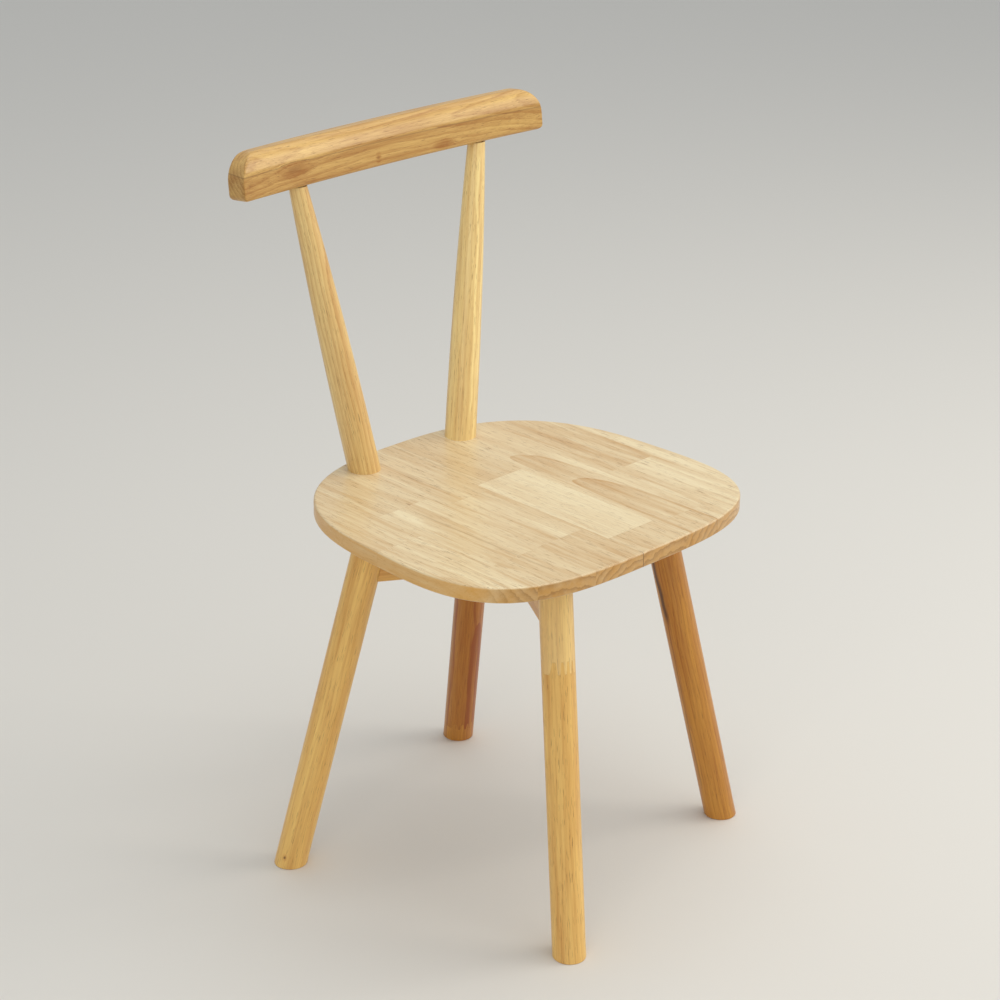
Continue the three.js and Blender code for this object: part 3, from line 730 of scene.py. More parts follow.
def rubberwood(name, timber, colours):
    """Clear-lacquered rubberwood with one piece of timber's marks and its painted light and shade."""
    material = bpy.data.materials.new(name)
    material.use_nodes = True
    material.node_tree.nodes.clear()
    sheet = Sheet(material.node_tree)
    place, normal = timber_place(sheet, timber)
    core = 0.0
    stain = 0.0
    for centre, radius, drawn_out, darkness in timber.knots:
        knot = sheet.group(effect("Knot"), Place=place, Centre=centre, Radius=radius,
                           Drawn_Out=drawn_out)
        place = knot["Bent Place"]
        core = sheet.math("MAXIMUM", core, sheet.math("MULTIPLY", knot["Core"], darkness))
        stain = sheet.math("MAXIMUM", stain, knot["Stain"])
    tone, index, glue = block_tones(sheet, place, timber)
    seed = sheet.math("ADD", sheet.math("MULTIPLY", index, 3.7), timber.seed)
    figure = sheet.group(effect("Wood figure"), Place=place, Heart_X=timber.heart[0],
                         Heart_Y=timber.heart[1], Ring_Width=timber.ring, Wander=timber.wander,
                         Seed=seed)
    for tip_x, tip_z, left, right, spread, strength in timber.flames:
        flame = sheet.group(effect("Flame"), Place=place, Tip_X=tip_x, Tip_Z=tip_z, Left=left,
                            Right=right, Spread=spread)
        both = sheet.math("ADD", sheet.math("MULTIPLY", flame["Inside"], 0.62), sheet.math(
            "MULTIPLY", flame["Rim"], 0.5))
        tone = sheet.math("SUBTRACT", tone, sheet.math("MULTIPLY", both, strength))
    x, y, z = sheet.split(place)
    dark = core
    for middle, width, low, high, strength in timber.streaks:
        drift = sheet.noise(place, (0.03, 0.03, 0.012), 2.0)
        off = sheet.math("ABSOLUTE", sheet.math("SUBTRACT", sheet.math("ADD", x, sheet.math(
            "MULTIPLY", sheet.math("SUBTRACT", drift, 0.5), 4 * width)), middle))
        body = sheet.math("MULTIPLY", sheet.step(off, 0.15 * width, width, 1.0, 0.0),
                          sheet.step(z, low, low + 25))
        body = sheet.math("MULTIPLY", body, sheet.step(z, high - 15, high, 1.0, 0.0))
        # Negative strengths paint pale streaks: paler grain on the seat, and on the right post a
        # painted highlight down its middle.
        if strength < 0:
            tone = sheet.math("SUBTRACT", tone, sheet.math("MULTIPLY", body, strength))
        else:
            dark = sheet.math("MAXIMUM", dark, sheet.math("MULTIPLY", body, strength))
    # Painted light: above each step the tone turns paler, standing for light on the rail's upturned
    # roll, and a thin dark line of painted shade follows the crease.
    for middle, change in timber.layers:
        tone = sheet.math("ADD", tone, sheet.step(y, middle - 0.8, middle + 0.8, 0.0, change))
        crease_shade = sheet.step(sheet.math("ABSOLUTE", sheet.math("SUBTRACT", y, middle)), 0.2, 1.1,
                          0.3, 0.0)
        dark = sheet.math("MAXIMUM", dark, crease_shade)
    tone = sheet.math("SUBTRACT", tone, sheet.math("MULTIPLY", stain, 0.3))
    ends = sheet.group(effect("End grain"), Normal=normal, Grain=timber.along)["Share"]
    pale = getattr(colours, timber.family + "_pale")
    deep = getattr(colours, timber.family + "_deep")
    wood = sheet.group(
        effect("Wood tone"), Pale=pale, Deep=deep, Pore=colours.pore, Tone=tone,
        Rings=figure["Rings"], Bands=figure["Bands"], Fibres=figure["Fibres"],
        Pores=figure["Pores"], Ring_Depth=timber.rings, Band_Depth=timber.bands,
        Fibre_Depth=timber.fibres, Pore_Depth=timber.pores)
    base = wood["Color"]
    if timber.glue and len(timber.blocks) > 1:
        base = sheet.mix(sheet.math("MULTIPLY", glue, timber.glue), base, colours.pore)
    # Painted light: upright faces take the deeper rim colour while the top keeps the pale,
    # sheen-painted seat colours; the bands vary the share as the grain does.
    if timber.rim:
        level = sheet.math("ABSOLUTE", sheet.split(normal)[2])
        share = sheet.math("MULTIPLY", sheet.step(level, 0.15, 0.9, timber.rim, 0.0), sheet.math(
            "ADD", figure["Bands"], 0.5))
        base = sheet.mix(share, base, colours.rim)
    if timber.cream:
        base = sheet.mix(sheet.math("MULTIPLY", index, timber.cream), base, colours.seat_pale)
    cut = sheet.math("MULTIPLY", ends, sheet.math("ADD", figure["Rings"], 0.5))
    base = sheet.mix(sheet.math("MULTIPLY", cut, timber.ends), base, colours.pore)
    if isinstance(dark, bpy.types.NodeSocket):
        base = sheet.mix(dark, base, colours.knot)
    coat = sheet.group(effect("Satin lacquer"), Place=place, Fibres=figure["Fibres"],
                       Pores=figure["Pores"], Base=timber.gloss)
    bump = sheet.add("ShaderNodeBump", {"Height": coat["Height"], "Strength": 0.12,
                                        "Distance": 0.15 * MM})
    surface = sheet.add("ShaderNodeBsdfPrincipled", {
        "Base Color": base, "Roughness": coat["Roughness"], "Normal": bump.outputs[0],
        "Coat Weight": 0.22, "Coat Roughness": 0.24, "Coat IOR": 1.5, "IOR": 1.45})
    sheet.add("ShaderNodeOutputMaterial", {"Surface": surface.outputs[0]})
    return material


def plated(name, tint_colour, bloom, base, metallic=1.0):
    """Plated or bright steel."""
    material = bpy.data.materials.new(name)
    material.use_nodes = True
    material.node_tree.nodes.clear()
    sheet = Sheet(material.node_tree)
    spot = sheet.add("ShaderNodeTexCoord").outputs["Object"]
    place = sheet.vector("MULTIPLY", spot, (1 / MM, 1 / MM, 1 / MM))
    finish = sheet.group(effect("Plating"), Place=place, Tint=tint_colour, Bloom=bloom, Base=base)
    bump = sheet.add("ShaderNodeBump", {"Height": finish["Height"], "Strength": 0.15,
                                        "Distance": 0.1 * MM})
    surface = sheet.add("ShaderNodeBsdfPrincipled", {
        "Base Color": finish["Color"], "Roughness": finish["Roughness"],
        "Normal": bump.outputs[0], "Metallic": metallic})
    sheet.add("ShaderNodeOutputMaterial", {"Surface": surface.outputs[0]})
    return material


def metal(name):
    """One of the chair's metals, made the first time it is asked for."""
    colours = bpy.context.scene.chair_colours
    recipes = {
        "zinc_plate": (colours.zinc, tint(140, 143, 146), 0.26),
        "bright_steel": (colours.bright, tint(180, 180, 176), 0.12),
        "yellow_zinc": (colours.brass, tint(160, 150, 120), 0.24),
    }
    return bpy.data.materials.get(name) or plated(name, *recipes[name])


# ---- Seat ----------------------------------------------------------------------------------


def seat_outline(sizes, count=480):
    """Evenly spaced points of the rounded outline, anticlockwise, with their inward normals."""
    fine = []
    samples = 8 * count
    for i in range(samples):
        angle = 2 * math.pi * (i + 0.5) / samples
        sine, cosine = math.sin(angle), math.cos(angle)
        power = 2 / (sizes.front_squareness if sine < 0 else sizes.back_squareness)
        reach = sizes.front if sine < 0 else sizes.back
        y = math.copysign(abs(sine) ** power * reach, sine)
        half = sizes.half_width - sizes.taper * y
        fine.append((math.copysign(abs(cosine) ** power * half, cosine), y))
    fine = np.array(fine + fine[:1])
    travel = np.concatenate([[0], np.cumsum(np.hypot(*np.diff(fine, axis=0).T))])
    stops = np.linspace(0, travel[-1], count, endpoint=False)
    points = np.stack([np.interp(stops, travel, fine[:, k]) for k in (0, 1)], 1)
    ahead = np.roll(points, -2, 0) - np.roll(points, 2, 0)
    ahead /= np.linalg.norm(ahead, axis=1)[:, None]
    inward = np.stack([-ahead[:, 1], ahead[:, 0]], 1)
    return points, inward


def rim_profile(sizes):
    """(inset, height) from the underside, round the rim, to the top."""
    low = arc((sizes.under_radius, SEAT_UNDER + sizes.under_radius), sizes.under_radius,
              270, 180, 4)
    high = arc((sizes.top_radius, SEAT_TOP - sizes.top_radius), sizes.top_radius, 180, 90, 6)
    return low + high


def seat_board(node, sizes):
    """One glued board of the panel, cut from the whole panel's outline."""
    points, inward = seat_outline(sizes)
    solid = bmesh.new()
    bridge(solid, [[(*(p + n * inset), height) for p, n in zip(points, inward)]
                   for inset, height in rim_profile(sizes)])
    bmesh.ops.recalc_face_normals(solid, faces=solid.faces)
    low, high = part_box(node)
    edge = sizes.half_width
    for x, outward in ((low.x + sizes.glue_gap, -1), (high.x - sizes.glue_gap, 1)):
        if abs(x) > edge - sizes.taper * sizes.front - 2 * MM:
            continue
        geometry = solid.verts[:] + solid.edges[:] + solid.faces[:]
        cut = bmesh.ops.bisect_plane(solid, geom=geometry, plane_co=(x, 0, 0),
                                     plane_no=(outward, 0, 0), clear_outer=True)
        edges = [part for part in cut["geom_cut"] if isinstance(part, bmesh.types.BMEdge)]
        bmesh.ops.edgeloop_fill(solid, edges=edges)
    return mesh_from(solid, node.replace("stave", "board"))


# Tones and marks of each board, from the left. Z runs toward the back, X to the right, both
# from the board's own left glue line and the swivel's axis.
BOARD_MARKS = {
    "seat_stave_1": dict(blocks=((None, 0.74), (-12, 0.66)), heart=(-75.0, 70.0), ring=9.0,
                         wander=26.0, rings=0.3),
    "seat_stave_2": dict(blocks=((None, 0.62), (-122, 0.76), (58, 0.66)), heart=(30.0, 95.0),
                         ring=11.0, knots=(((9, 18, -152), 2.4, 2.2, 0.8),),
                         streaks=((40, 1.4, -190, 40, 0.2), (12, 0.8, -60, 150, 0.14))),
    "seat_stave_3": dict(blocks=((None, 0.58), (-120, 0.72), (30, 0.66)), heart=(70.0, 55.0),
                         ring=8.0, streaks=((34, 0.9, 40, 210, 0.16), (58, 1.2, -70, 60, 0.1))),
    "seat_stave_4": dict(blocks=((None, 0.62), (-157, 0.90), (48, 0.58)), heart=(52.0, 120.0),
                         ring=10.0, bands=0.45, streaks=((8, 0.9, 55, 205, 0.2),
                                                         (14, 1.0, 60, 200, 0.14),
                                                         (50, 0.9, -150, 40, 0.1),
                                                         (0.2, 0.8, -240, -196, 0.8))),
    "seat_stave_5": dict(blocks=((None, 0.66), (-165, 0.72)), heart=(95.0, 60.0), ring=9.0,
                         flames=((17, 82, 12, 44, 34, 0.40), (21, -17, 15, 42, 40, 0.46)),
                         knots=(((38, 18, 88), 2.4, 1.4, 0.25),), rings=0.12,
                         streaks=((62, 1.6, -120, 60, -0.25),)),
    "seat_stave_6": dict(blocks=((None, 0.80), (-28, 0.56)), heart=(20.0, 60.0), ring=7.0,
                         streaks=((20, 0.9, 0, 170, 0.16), (38, 1.1, -20, 150, 0.13),
                                  (52, 0.8, -60, 90, 0.12))),
    "seat_stave_7": dict(blocks=((None, 0.80), (40, 0.74)), heart=(60.0, 70.0), ring=8.0),
}


def post_axis(side, sizes):
    """A post's base on the seat and its direction."""
    base = Vector((side * sizes.post_x, sizes.post_y, SEAT_TOP))
    return base, Vector((side * sizes.spread, sizes.lean, 1))


class CHAIR_OT_seat(bpy.types.Operator):
    """Make the seat's glued boards, with the pockets for the posts and their screws"""

    bl_idname = "chair.seat"
    bl_label = "Seat boards"

    def execute(self, context):
        scene = context.scene
        sizes, back, metals = scene.chair_seat, scene.chair_back, scene.chair_metal
        for place_number, node in enumerate(BOARDS):
            low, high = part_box(node)
            board = seat_board(node, sizes)
            tools = []
            for side in SIDES.values():
                base, lean = post_axis(side, back)
                if low.x < base.x < high.x:
                    tools += post_pocket(base, lean, back, metals)
            if tools:
                carve(board, tools)
            marks = BOARD_MARKS[node]
            # rim=0.62 paints the seat's upright edge deeper than its sheen-painted top.
            timber = Timber((low.x, 0, SEAT_UNDER), Y_AXIS, spin=180, family="seat",
                            seed=11.0 + 5.3 * place_number, gloss=0.33, glue=0.02, rim=0.62, ends=0.42,
                            **{"bands": 1.15, "fibres": 0.8, "pores": 0.6, "rings": 0.3, **marks})
            material = rubberwood(board.name, timber, scene.chair_colours)
            hand_over(board, material, SEAT_BODY, "seat_wood", node)
        return {"FINISHED"}


def post_pocket(base, lean, back, metals):
    """Cutters for a post's tenon, its screw and the screw head's counterbore."""
    gap = metals.pilot_gap
    tenon_floor = -back.tenon_depth - gap
    seat = SEAT_UNDER - SEAT_TOP
    head_seat = -(back.tenon_depth + metals.post_web) + gap
    return [
        rod("tenon_cut", back.tenon / 2 + gap, base + lean * tenon_floor, base + lean * 0.02),
        rod("shank_cut", metals.post_shank / 2 + gap, base + lean * (seat - 0.005),
            base + lean * (tenon_floor + 0.001), 24),
        rod("head_cut", metals.post_head / 2 + metals.hole_gap, base + lean * (seat - 0.01),
            base + lean * head_seat, 48),
    ]


# ---- Back ----------------------------------------------------------------------------------


def rail_frame(sizes):
    """The rail's own axes: X along, Y rearward, Z up its leaned face, from its front edge."""
    post_x = sizes.post_x + sizes.spread * sizes.rail_rise
    post_y = sizes.post_y + sizes.lean * sizes.rail_rise
    front = post_y - sizes.rail_setback - bow_offset(post_x, sizes)
    place = Matrix.Translation((0, front, SEAT_TOP + sizes.rail_rise))
    return place @ Matrix.Rotation(-math.atan(sizes.lean), 4, "X")


def bow_offset(along, sizes):
    """How far the bow puts a point behind the line through the rail's ends."""
    bow = sizes.rail_bow
    radius = ((sizes.rail_length / 2) ** 2 + bow ** 2) / (2 * bow)
    return math.sqrt(radius ** 2 - along ** 2) - (radius - bow)


def filled(points, gap):
    """A closed outline with extra points wherever two are further apart than the gap."""
    dense = []
    for start, end in zip(points, points[1:] + points[:1]):
        parts = max(1, math.ceil(math.dist(start, end) / gap))
        dense += [tuple(a + (b - a) * i / parts for a, b in zip(start, end))
                  for i in range(parts)]
    return dense


def rail_section(sizes):
    """The rail's section: rearward and up, from the front lower edge."""
    thick, tall, edge = sizes.rail_thick, sizes.rail_height, sizes.rail_edge
    points = arc((edge, edge), edge, 180, 270, 8)
    points += arc((thick - edge, edge), edge, 270, 360, 8)
    points += arc((thick - edge, tall - edge), edge, 0, 90, 8)
    start = Vector((sizes.rail_roll, tall))
    bend = Vector((sizes.rail_roll / 4, tall - edge / 2))
    end = Vector((0, sizes.rail_face))
    roll = [start.lerp(bend, i / 14).lerp(bend.lerp(end, i / 14), i / 14) for i in range(15)]
    points += [tuple(point) for point in roll]
    return filled(points, 1.3 * MM)


def rail_front(sizes):
    """The rail's outline seen from the front, wide rounding above and little below."""
    half, tall = sizes.rail_length / 2, sizes.rail_height
    top, low = sizes.rail_top_corner, sizes.rail_low_corner
    return (arc((half - low, low), low, 270, 360, 16)
            + arc((half - top, tall - top), top, 0, 90, 24)
            + arc((top - half, tall - top), top, 90, 180, 24)
            + arc((low - half, low), low, 180, 270, 16))


def outline_distance(points, outline):
    """Signed distance of each point to a closed outline, negative inside."""
    starts = np.array(outline)
    ends = np.roll(starts, -1, 0)
    best = np.full(len(points), np.inf)
    inside = np.zeros(len(points), bool)
    for a, b in zip(starts, ends):
        side = b - a
        away = points - a
        share = np.clip(away @ side / (side @ side), 0, 1)
        best = np.minimum(best, np.hypot(*(away - share[:, None] * side).T))
        crosses = (a[1] > points[:, 1]) != (b[1] > points[:, 1])
        if a[1] != b[1]:
            inside ^= crosses & (points[:, 0] < a[0] + (points[:, 1] - a[1]) * side[0] / side[1])
    return np.where(inside, -best, best)


def rounded_meet(points, section, front, radius):
    """Signed distance to the rail, whose two outlines meet in an arris of that radius."""
    first = outline_distance(points[:, 1:], section) + radius
    second = outline_distance(points[:, [0, 2]], front) + radius
    inner = np.minimum(np.maximum(first, second), 0)
    return inner + np.hypot(np.maximum(first, 0), np.maximum(second, 0)) - radius


def build_rail(sizes):
    """The bowed bar, rolled over at its upper front edge, with softly rounded ends."""
    section = rail_section(sizes)
    front = rail_front(sizes)
    half, tall = sizes.rail_length / 2, sizes.rail_height
    top, low = sizes.rail_top_corner, sizes.rail_low_corner
    stations = set(np.linspace(0, half - top, 56))
    for radius, steps in ((top, 22), (low, 12), (sizes.rail_arris, 5)):
        stations |= {half - radius + radius * math.sin(math.pi / 2 * i / steps)
                     for i in range(1, steps + 1)}
    ahead = sorted(stations)
    rings = []
    for x in [-x for x in reversed(ahead[1:])] + ahead:
        in_top = max(abs(x) - (half - top), 0)
        in_low = max(abs(x) - (half - low), 0)
        ceiling = tall - top + math.sqrt(max(top ** 2 - in_top ** 2, 0))
        ground = low - math.sqrt(max(low ** 2 - in_low ** 2, 0))
        rings.append([(x, a, min(max(z, ground), ceiling)) for a, z in section])
    middle = Vector((sizes.rail_thick / 2, (low + tall - top) / 2))
    caps = {}
    for end in (0, -1):
        caps[end] = [[(x, *middle.lerp(Vector((a, z)), share)) for x, a, z in rings[end]]
                     for share in (0.9, 0.7, 0.4)]
    rings = caps[0][::-1] + rings + caps[-1]
    points = np.array(rings).reshape(-1, 3)
    probe = 1e-5
    for _ in range(6):
        here = rounded_meet(points, section, front, sizes.rail_arris)
        slope = np.stack([
            (rounded_meet(points + probe * axis, section, front, sizes.rail_arris) - here) / probe
            for axis in np.eye(3)], 1)
        steep = np.maximum((slope ** 2).sum(1), 0.3)
        points = points - (here / steep)[:, None] * slope
    points[:, 1] += [bow_offset(x, sizes) for x in np.clip(points[:, 0], -half, half)]
    solid = bmesh.new()
    bridge(solid, points.reshape(len(rings), -1, 3))
    bmesh.ops.remove_doubles(solid, verts=solid.verts, dist=0.00006)
    rail = mesh_from(solid, "crest_rail_bar")
    rail.data.transform(rail_frame(sizes))
    return rail


class CHAIR_OT_crest_rail(bpy.types.Operator):
    """Make the bowed crest rail with its two mortises"""

    bl_idname = "chair.crest_rail"
    bl_label = "Crest rail"

    def execute(self, context):
        scene = context.scene
        sizes, gap = scene.chair_back, scene.chair_metal.pilot_gap
        rail = build_rail(sizes)
        cutters = []
        for side in SIDES.values():
            base, lean = post_axis(side, sizes)
            top = base + lean * (sizes.rail_rise + sizes.rail_tenon_depth)
            cutters.append(rod("mortise", sizes.rail_tenon / 2 + gap, base + lean * 0.3, top, 48))
        carve(rail, cutters)
        low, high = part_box("crest_rail")
        # The step at 31.5 mm paints light on the roll above the front face and shade along the crease.
        timber = Timber(
            (0, low.y, low.z), X_AXIS, family="rail", heart=(-40.0, 72.0), ring=5.0, wander=7.0,
            seed=3.0, rings=0.3, bands=0.9, fibres=0.7, pores=0.6, gloss=0.34, glue=0.0,
            blocks=((None, 0.42),), layers=((31.5, 0.14),), ends=0.08,
            knots=(((10, 25, -152), 4.5, 2.6, 0.12), ((14, 14, -23), 2.6, 0.7, 0.2),
                   ((14, 12, 78), 2.6, 3.0, 0.05)))
        material = rubberwood("crest_rail_wood", timber, scene.chair_colours)
        hand_over(rail, material, SEAT_BODY, "rail_wood", "crest_rail", sharp=50)
        return {"FINISHED"}


def build_post(side, sizes):
    """A turned post, cut to the seat's top and the rail's underside, with both tenons."""
    base, lean = post_axis(side, sizes)
    stretch = lean.length
    span = (sizes.rail_rise - sizes.rail_setback * sizes.lean) * stretch
    over = sizes.post_base
    place = Matrix.Translation(base) @ lean.to_track_quat("Z", "Y").to_matrix().to_4x4()
    rings = 40
    profile = [(0, -over), (sizes.post_base / 2, -over)]
    for i in range(rings + 1):
        share = i / rings
        radius = (sizes.post_base - (sizes.post_base - sizes.post_top) * share ** 2) / 2
        profile.append((radius, span * share))
    profile += [(sizes.post_top / 2, span + over), (0, span + over)]
    post = lathe("back_post_turned", profile, 96, place)
    solid = bmesh.new()
    solid.from_mesh(post.data)
    rail = rail_frame(sizes)
    under = rail.to_3x3() @ Z_AXIS
    gap = 0.3 * MM
    for spot, away, radius, reach in (
            (Vector((0, 0, SEAT_TOP)), -Z_AXIS, sizes.tenon / 2, sizes.tenon_depth),
            (rail.translation - under * gap, under, sizes.rail_tenon / 2,
             sizes.rail_tenon_depth)):
        geometry = solid.verts[:] + solid.edges[:] + solid.faces[:]
        cut = bmesh.ops.bisect_plane(solid, geom=geometry, plane_co=spot, plane_no=away,
                                     clear_outer=True)
        edges = [part for part in cut["geom_cut"] if isinstance(part, bmesh.types.BMEdge)]
        face = bmesh.ops.edgeloop_fill(solid, edges=edges)["faces"][0]
        wide = math.sqrt(face.calc_area() / math.pi)
        bmesh.ops.inset_region(solid, faces=[face], thickness=wide - radius)
        tenon = bmesh.ops.extrude_face_region(solid, geom=[face])
        solid.faces.remove(face)
        tip = [part for part in tenon["geom"] if isinstance(part, bmesh.types.BMVert)]
        along = lean.normalized() * (1 if away.z > 0 else -1)
        bmesh.ops.translate(solid, verts=tip, vec=along * reach)
    bpy.data.meshes.remove(post.data)
    return mesh_from(solid, "post_" + ("right" if side > 0 else "left") + "_turned")


POST_MARKS = {
    "left": dict(blocks=((None, 0.62),), heart=(22.0, -40.0), ring=5.0, seed=21.0,
                 wander=12.0, rings=0.32, glue=0.0),
    # The two pale streaks down the right post's middle are a painted highlight.
    "right": dict(blocks=((None, 0.80),), heart=(-50.0, 36.0), ring=6.0, seed=27.0, wander=6.0,
                  rings=0.25, bands=0.8, glue=0.0, knots=(((3, 18, 12), 0.9, 2.0, 0.8),),
                  streaks=((-4, 2.4, 20, 340, -0.35), (5, 1.6, 60, 345, -0.3))),
}


class CHAIR_OT_posts(bpy.types.Operator):
    """Make the two turned back posts"""

    bl_idname = "chair.posts"
    bl_label = "Back posts"

    def execute(self, context):
        scene = context.scene
        for name, side in SIDES.items():
            post = build_post(side, scene.chair_back)
            base, lean = post_axis(side, scene.chair_back)
            timber = Timber(base, lean, family="post", **POST_MARKS[name])
            material = rubberwood(post.name + "_wood", timber, scene.chair_colours)
            hand_over(post, material, SEAT_BODY, "post_wood", "back_post_" + name)
        return {"FINISHED"}


# ---- Legs and cross battens ----------------------------------------------------------------


def build_leg(corner, sizes):
    """A round bar along the leg's line, cut level at both ends with eased edges."""
    foot, top = leg_ends(corner)
    slope = (top - foot) / top.z
    outward = Vector((slope.x, slope.y, 0)).normalized()
    sideways = Z_AXIS.cross(outward)
    radius, ease = sizes.leg_diameter / 2, sizes.foot_ease
    stretch = slope.length
    heights = [(inset, height) for inset, height in arc((ease, ease), ease, 270, 180, 4)]
    heights += [(0, foot.z + top.z * i / 12) for i in range(1, 12)]
    heights += arc((ease, top.z - ease), ease, 180, 90, 4)
    solid = bmesh.new()
    rings = []
    for inset, height in heights:
        middle = foot + slope * height
        turns = [2 * math.pi * i / 96 for i in range(96)]
        rings.append([middle + (radius - inset) * (
            outward * math.cos(t) * stretch + sideways * math.sin(t)) for t in turns])
    bridge(solid, rings)
    return mesh_from(solid, "leg_" + corner + "_bar")


def batten_frame(corner):
    """Axes of the batten end at a corner: X outward, Z up, from the swivel's axis."""
    foot = FEET["foot_" + corner]
    return Matrix.Rotation(math.atan2(foot.y, foot.x), 4, "Z")


def tenon_block(name, corner, sizes, gap, spare):
    """The batten's tenon at a corner, or the mortise for it when there is a gap."""
    low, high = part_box("cross_batten_over")
    middle = (low.z + high.z) / 2
    foot, top = leg_ends(corner)
    flat = (top - foot) / top.z
    reach = (foot + flat * middle).xy.length
    face = reach - sizes.leg_diameter / 2 * flat.length
    end = face + sizes.tenon_length + spare
    half_thick, half_height = sizes.tenon_thick / 2 + gap, sizes.tenon_height / 2 + gap
    start = face - sizes.leg_diameter / 4
    return block(name, (start, -half_thick, middle - half_height),
                 (end, half_thick, middle + half_height), place=batten_frame(corner))


LEG_MARKS = {
    "rear_right": dict(blocks=((None, 0.42), (28, 0.28)), family="brown", heart=(30.0, 20.0),
                     ring=5.0, seed=41.0,
                       flames=((0, 197, 9, 10, 20, 0.3),), fingers=8.0, rings=0.3, bands=0.4),
    "rear_left": dict(blocks=((None, 0.66),), heart=(-34.0, 26.0), ring=5.5, seed=47.0,
                      knots=(((-18, -5, 12), 1.4, 1.5, 0.7),), wander=16.0, rings=0.18,
                      bands=1.1),
    "front_left": dict(blocks=((None, 0.66), (334, 0.78)), cream=0.2, heart=(26.0, -44.0), ring=6.0,
                       wander=16.0, seed=53.0, fingers=14.0, rings=0.2, bands=1.1, pores=0.6),
    "front_right": dict(blocks=((None, 0.44),), heart=(-28.0, -30.0), ring=5.0, seed=59.0,
                        spin=90, family="brown",
                        knots=(((2, -18, 344), 3.4, 2.6, 0.95), ((-6, -17, 298), 2.6, 2.0, 0.9)),
                        streaks=((3, 4.6, 272, 396, 0.85), (2, 1.4, 40, 290, 0.35)),
                                         wander=16.0, rings=0.2),
}


class CHAIR_OT_legs(bpy.types.Operator):
    """Make the four round splayed legs"""

    bl_idname = "chair.legs"
    bl_label = "Legs"

    def execute(self, context):
        scene = context.scene
        sizes, gap = scene.chair_base, scene.chair_metal.pilot_gap
        for corner in CORNERS:
            leg = build_leg(corner, sizes)
            carve(leg, [tenon_block("mortise", corner, sizes, gap, 1 * MM)])
            foot, top = leg_ends(corner)
            timber = Timber(foot, top - foot, **LEG_MARKS[corner])
            material = rubberwood(leg.name + "_wood", timber, scene.chair_colours)
            hand_over(leg, material, LEG_BODY, "leg_wood", "leg_" + corner)
        return {"FINISHED"}


class CHAIR_OT_battens(bpy.types.Operator):
    """Make the two halved cross battens that carry the swivel"""

    bl_idname = "chair.battens"
    bl_label = "Cross battens"

    def execute(self, context):
        scene = context.scene
        sizes, gap = scene.chair_base, scene.chair_metal.pilot_gap
        low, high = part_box("cross_batten_over")
        middle = (low.z + high.z) / 2
        half = sizes.batten_thick / 2
        notch = half + gap
        for name, ends, notch_heights in (
                ("over", ("rear_right", "front_left"), (low.z - 0.001, middle + gap / 2)),
                ("under", ("rear_left", "front_right"), (middle - gap / 2, high.z + 0.001))):
            place = batten_frame(ends[0])
            foot, top = leg_ends(ends[0])
            reach = (foot + (top - foot) * (middle / top.z)).xy.length
            batten = block("batten_" + name + "_bar", (-reach, -half, low.z),
                           (reach, half, high.z), sizes.batten_ease, place)
            cutters = [block("notch", (-notch, -notch, notch_heights[0]),
                             (notch, notch, notch_heights[1]), place=place)]
            for corner in ends:
                foot, top = leg_ends(corner)
                cutters.append(rod("leg_room", sizes.leg_diameter / 2 + gap,
                                   foot, foot + (top - foot) * 1.2))
            carve(batten, cutters)
            carve(batten, [tenon_block("tenon", corner, sizes, 0, 0) for corner in ends],
                  "UNION")
            along = place.to_3x3() @ X_AXIS
            timber = Timber((0, 0, low.z), along, spin=20, heart=(40.0, -30.0), ring=7.0,
                            seed=61.0 + len(name), blocks=((None, 0.5), (20, 0.42)), rings=0.3)
            material = rubberwood(batten.name + "_wood", timber, scene.chair_colours)
            hand_over(batten, material, LEG_BODY, "batten_wood", "cross_batten_" + name)
        return {"FINISHED"}


# ---- Swivel --------------------------------------------------------------------------------


def flat_plate(name, outline, holes, low, high, edge):
    """A flat plate with round holes and slightly rounded pressed edges."""
    shape = bpy.data.curves.new(name, "CURVE")
    shape.dimensions = "2D"
    shape.fill_mode = "BOTH"
    shape.extrude = (high - low) / 2 - edge
    shape.bevel_depth = edge
    shape.bevel_resolution = 2
    loops = [outline] + [arc((x, y), radius, 0, 360, steps)[:-1] for x, y, radius, steps in holes]
    for loop in loops:
        spline = shape.splines.new("POLY")
        spline.points.add(len(loop) - 1)
        for point, (x, y) in zip(spline.points, loop):
            point.co = (x, y, 0, 1)
        spline.use_cyclic_u = True
    drawn = bpy.data.objects.new(name, shape)
    bpy.context.scene.collection.objects.link(drawn)
    depsgraph = bpy.context.evaluated_depsgraph_get()
    mesh = bpy.data.meshes.new_from_object(drawn.evaluated_get(depsgraph))
    bpy.data.curves.remove(shape)
    solid = bmesh.new()
    solid.from_mesh(mesh)
    bpy.data.meshes.remove(mesh)
    bmesh.ops.remove_doubles(solid, verts=solid.verts, dist=0.00001)
    bmesh.ops.translate(solid, verts=solid.verts, vec=(0, 0, (low + high) / 2))
    return mesh_from(solid, name)


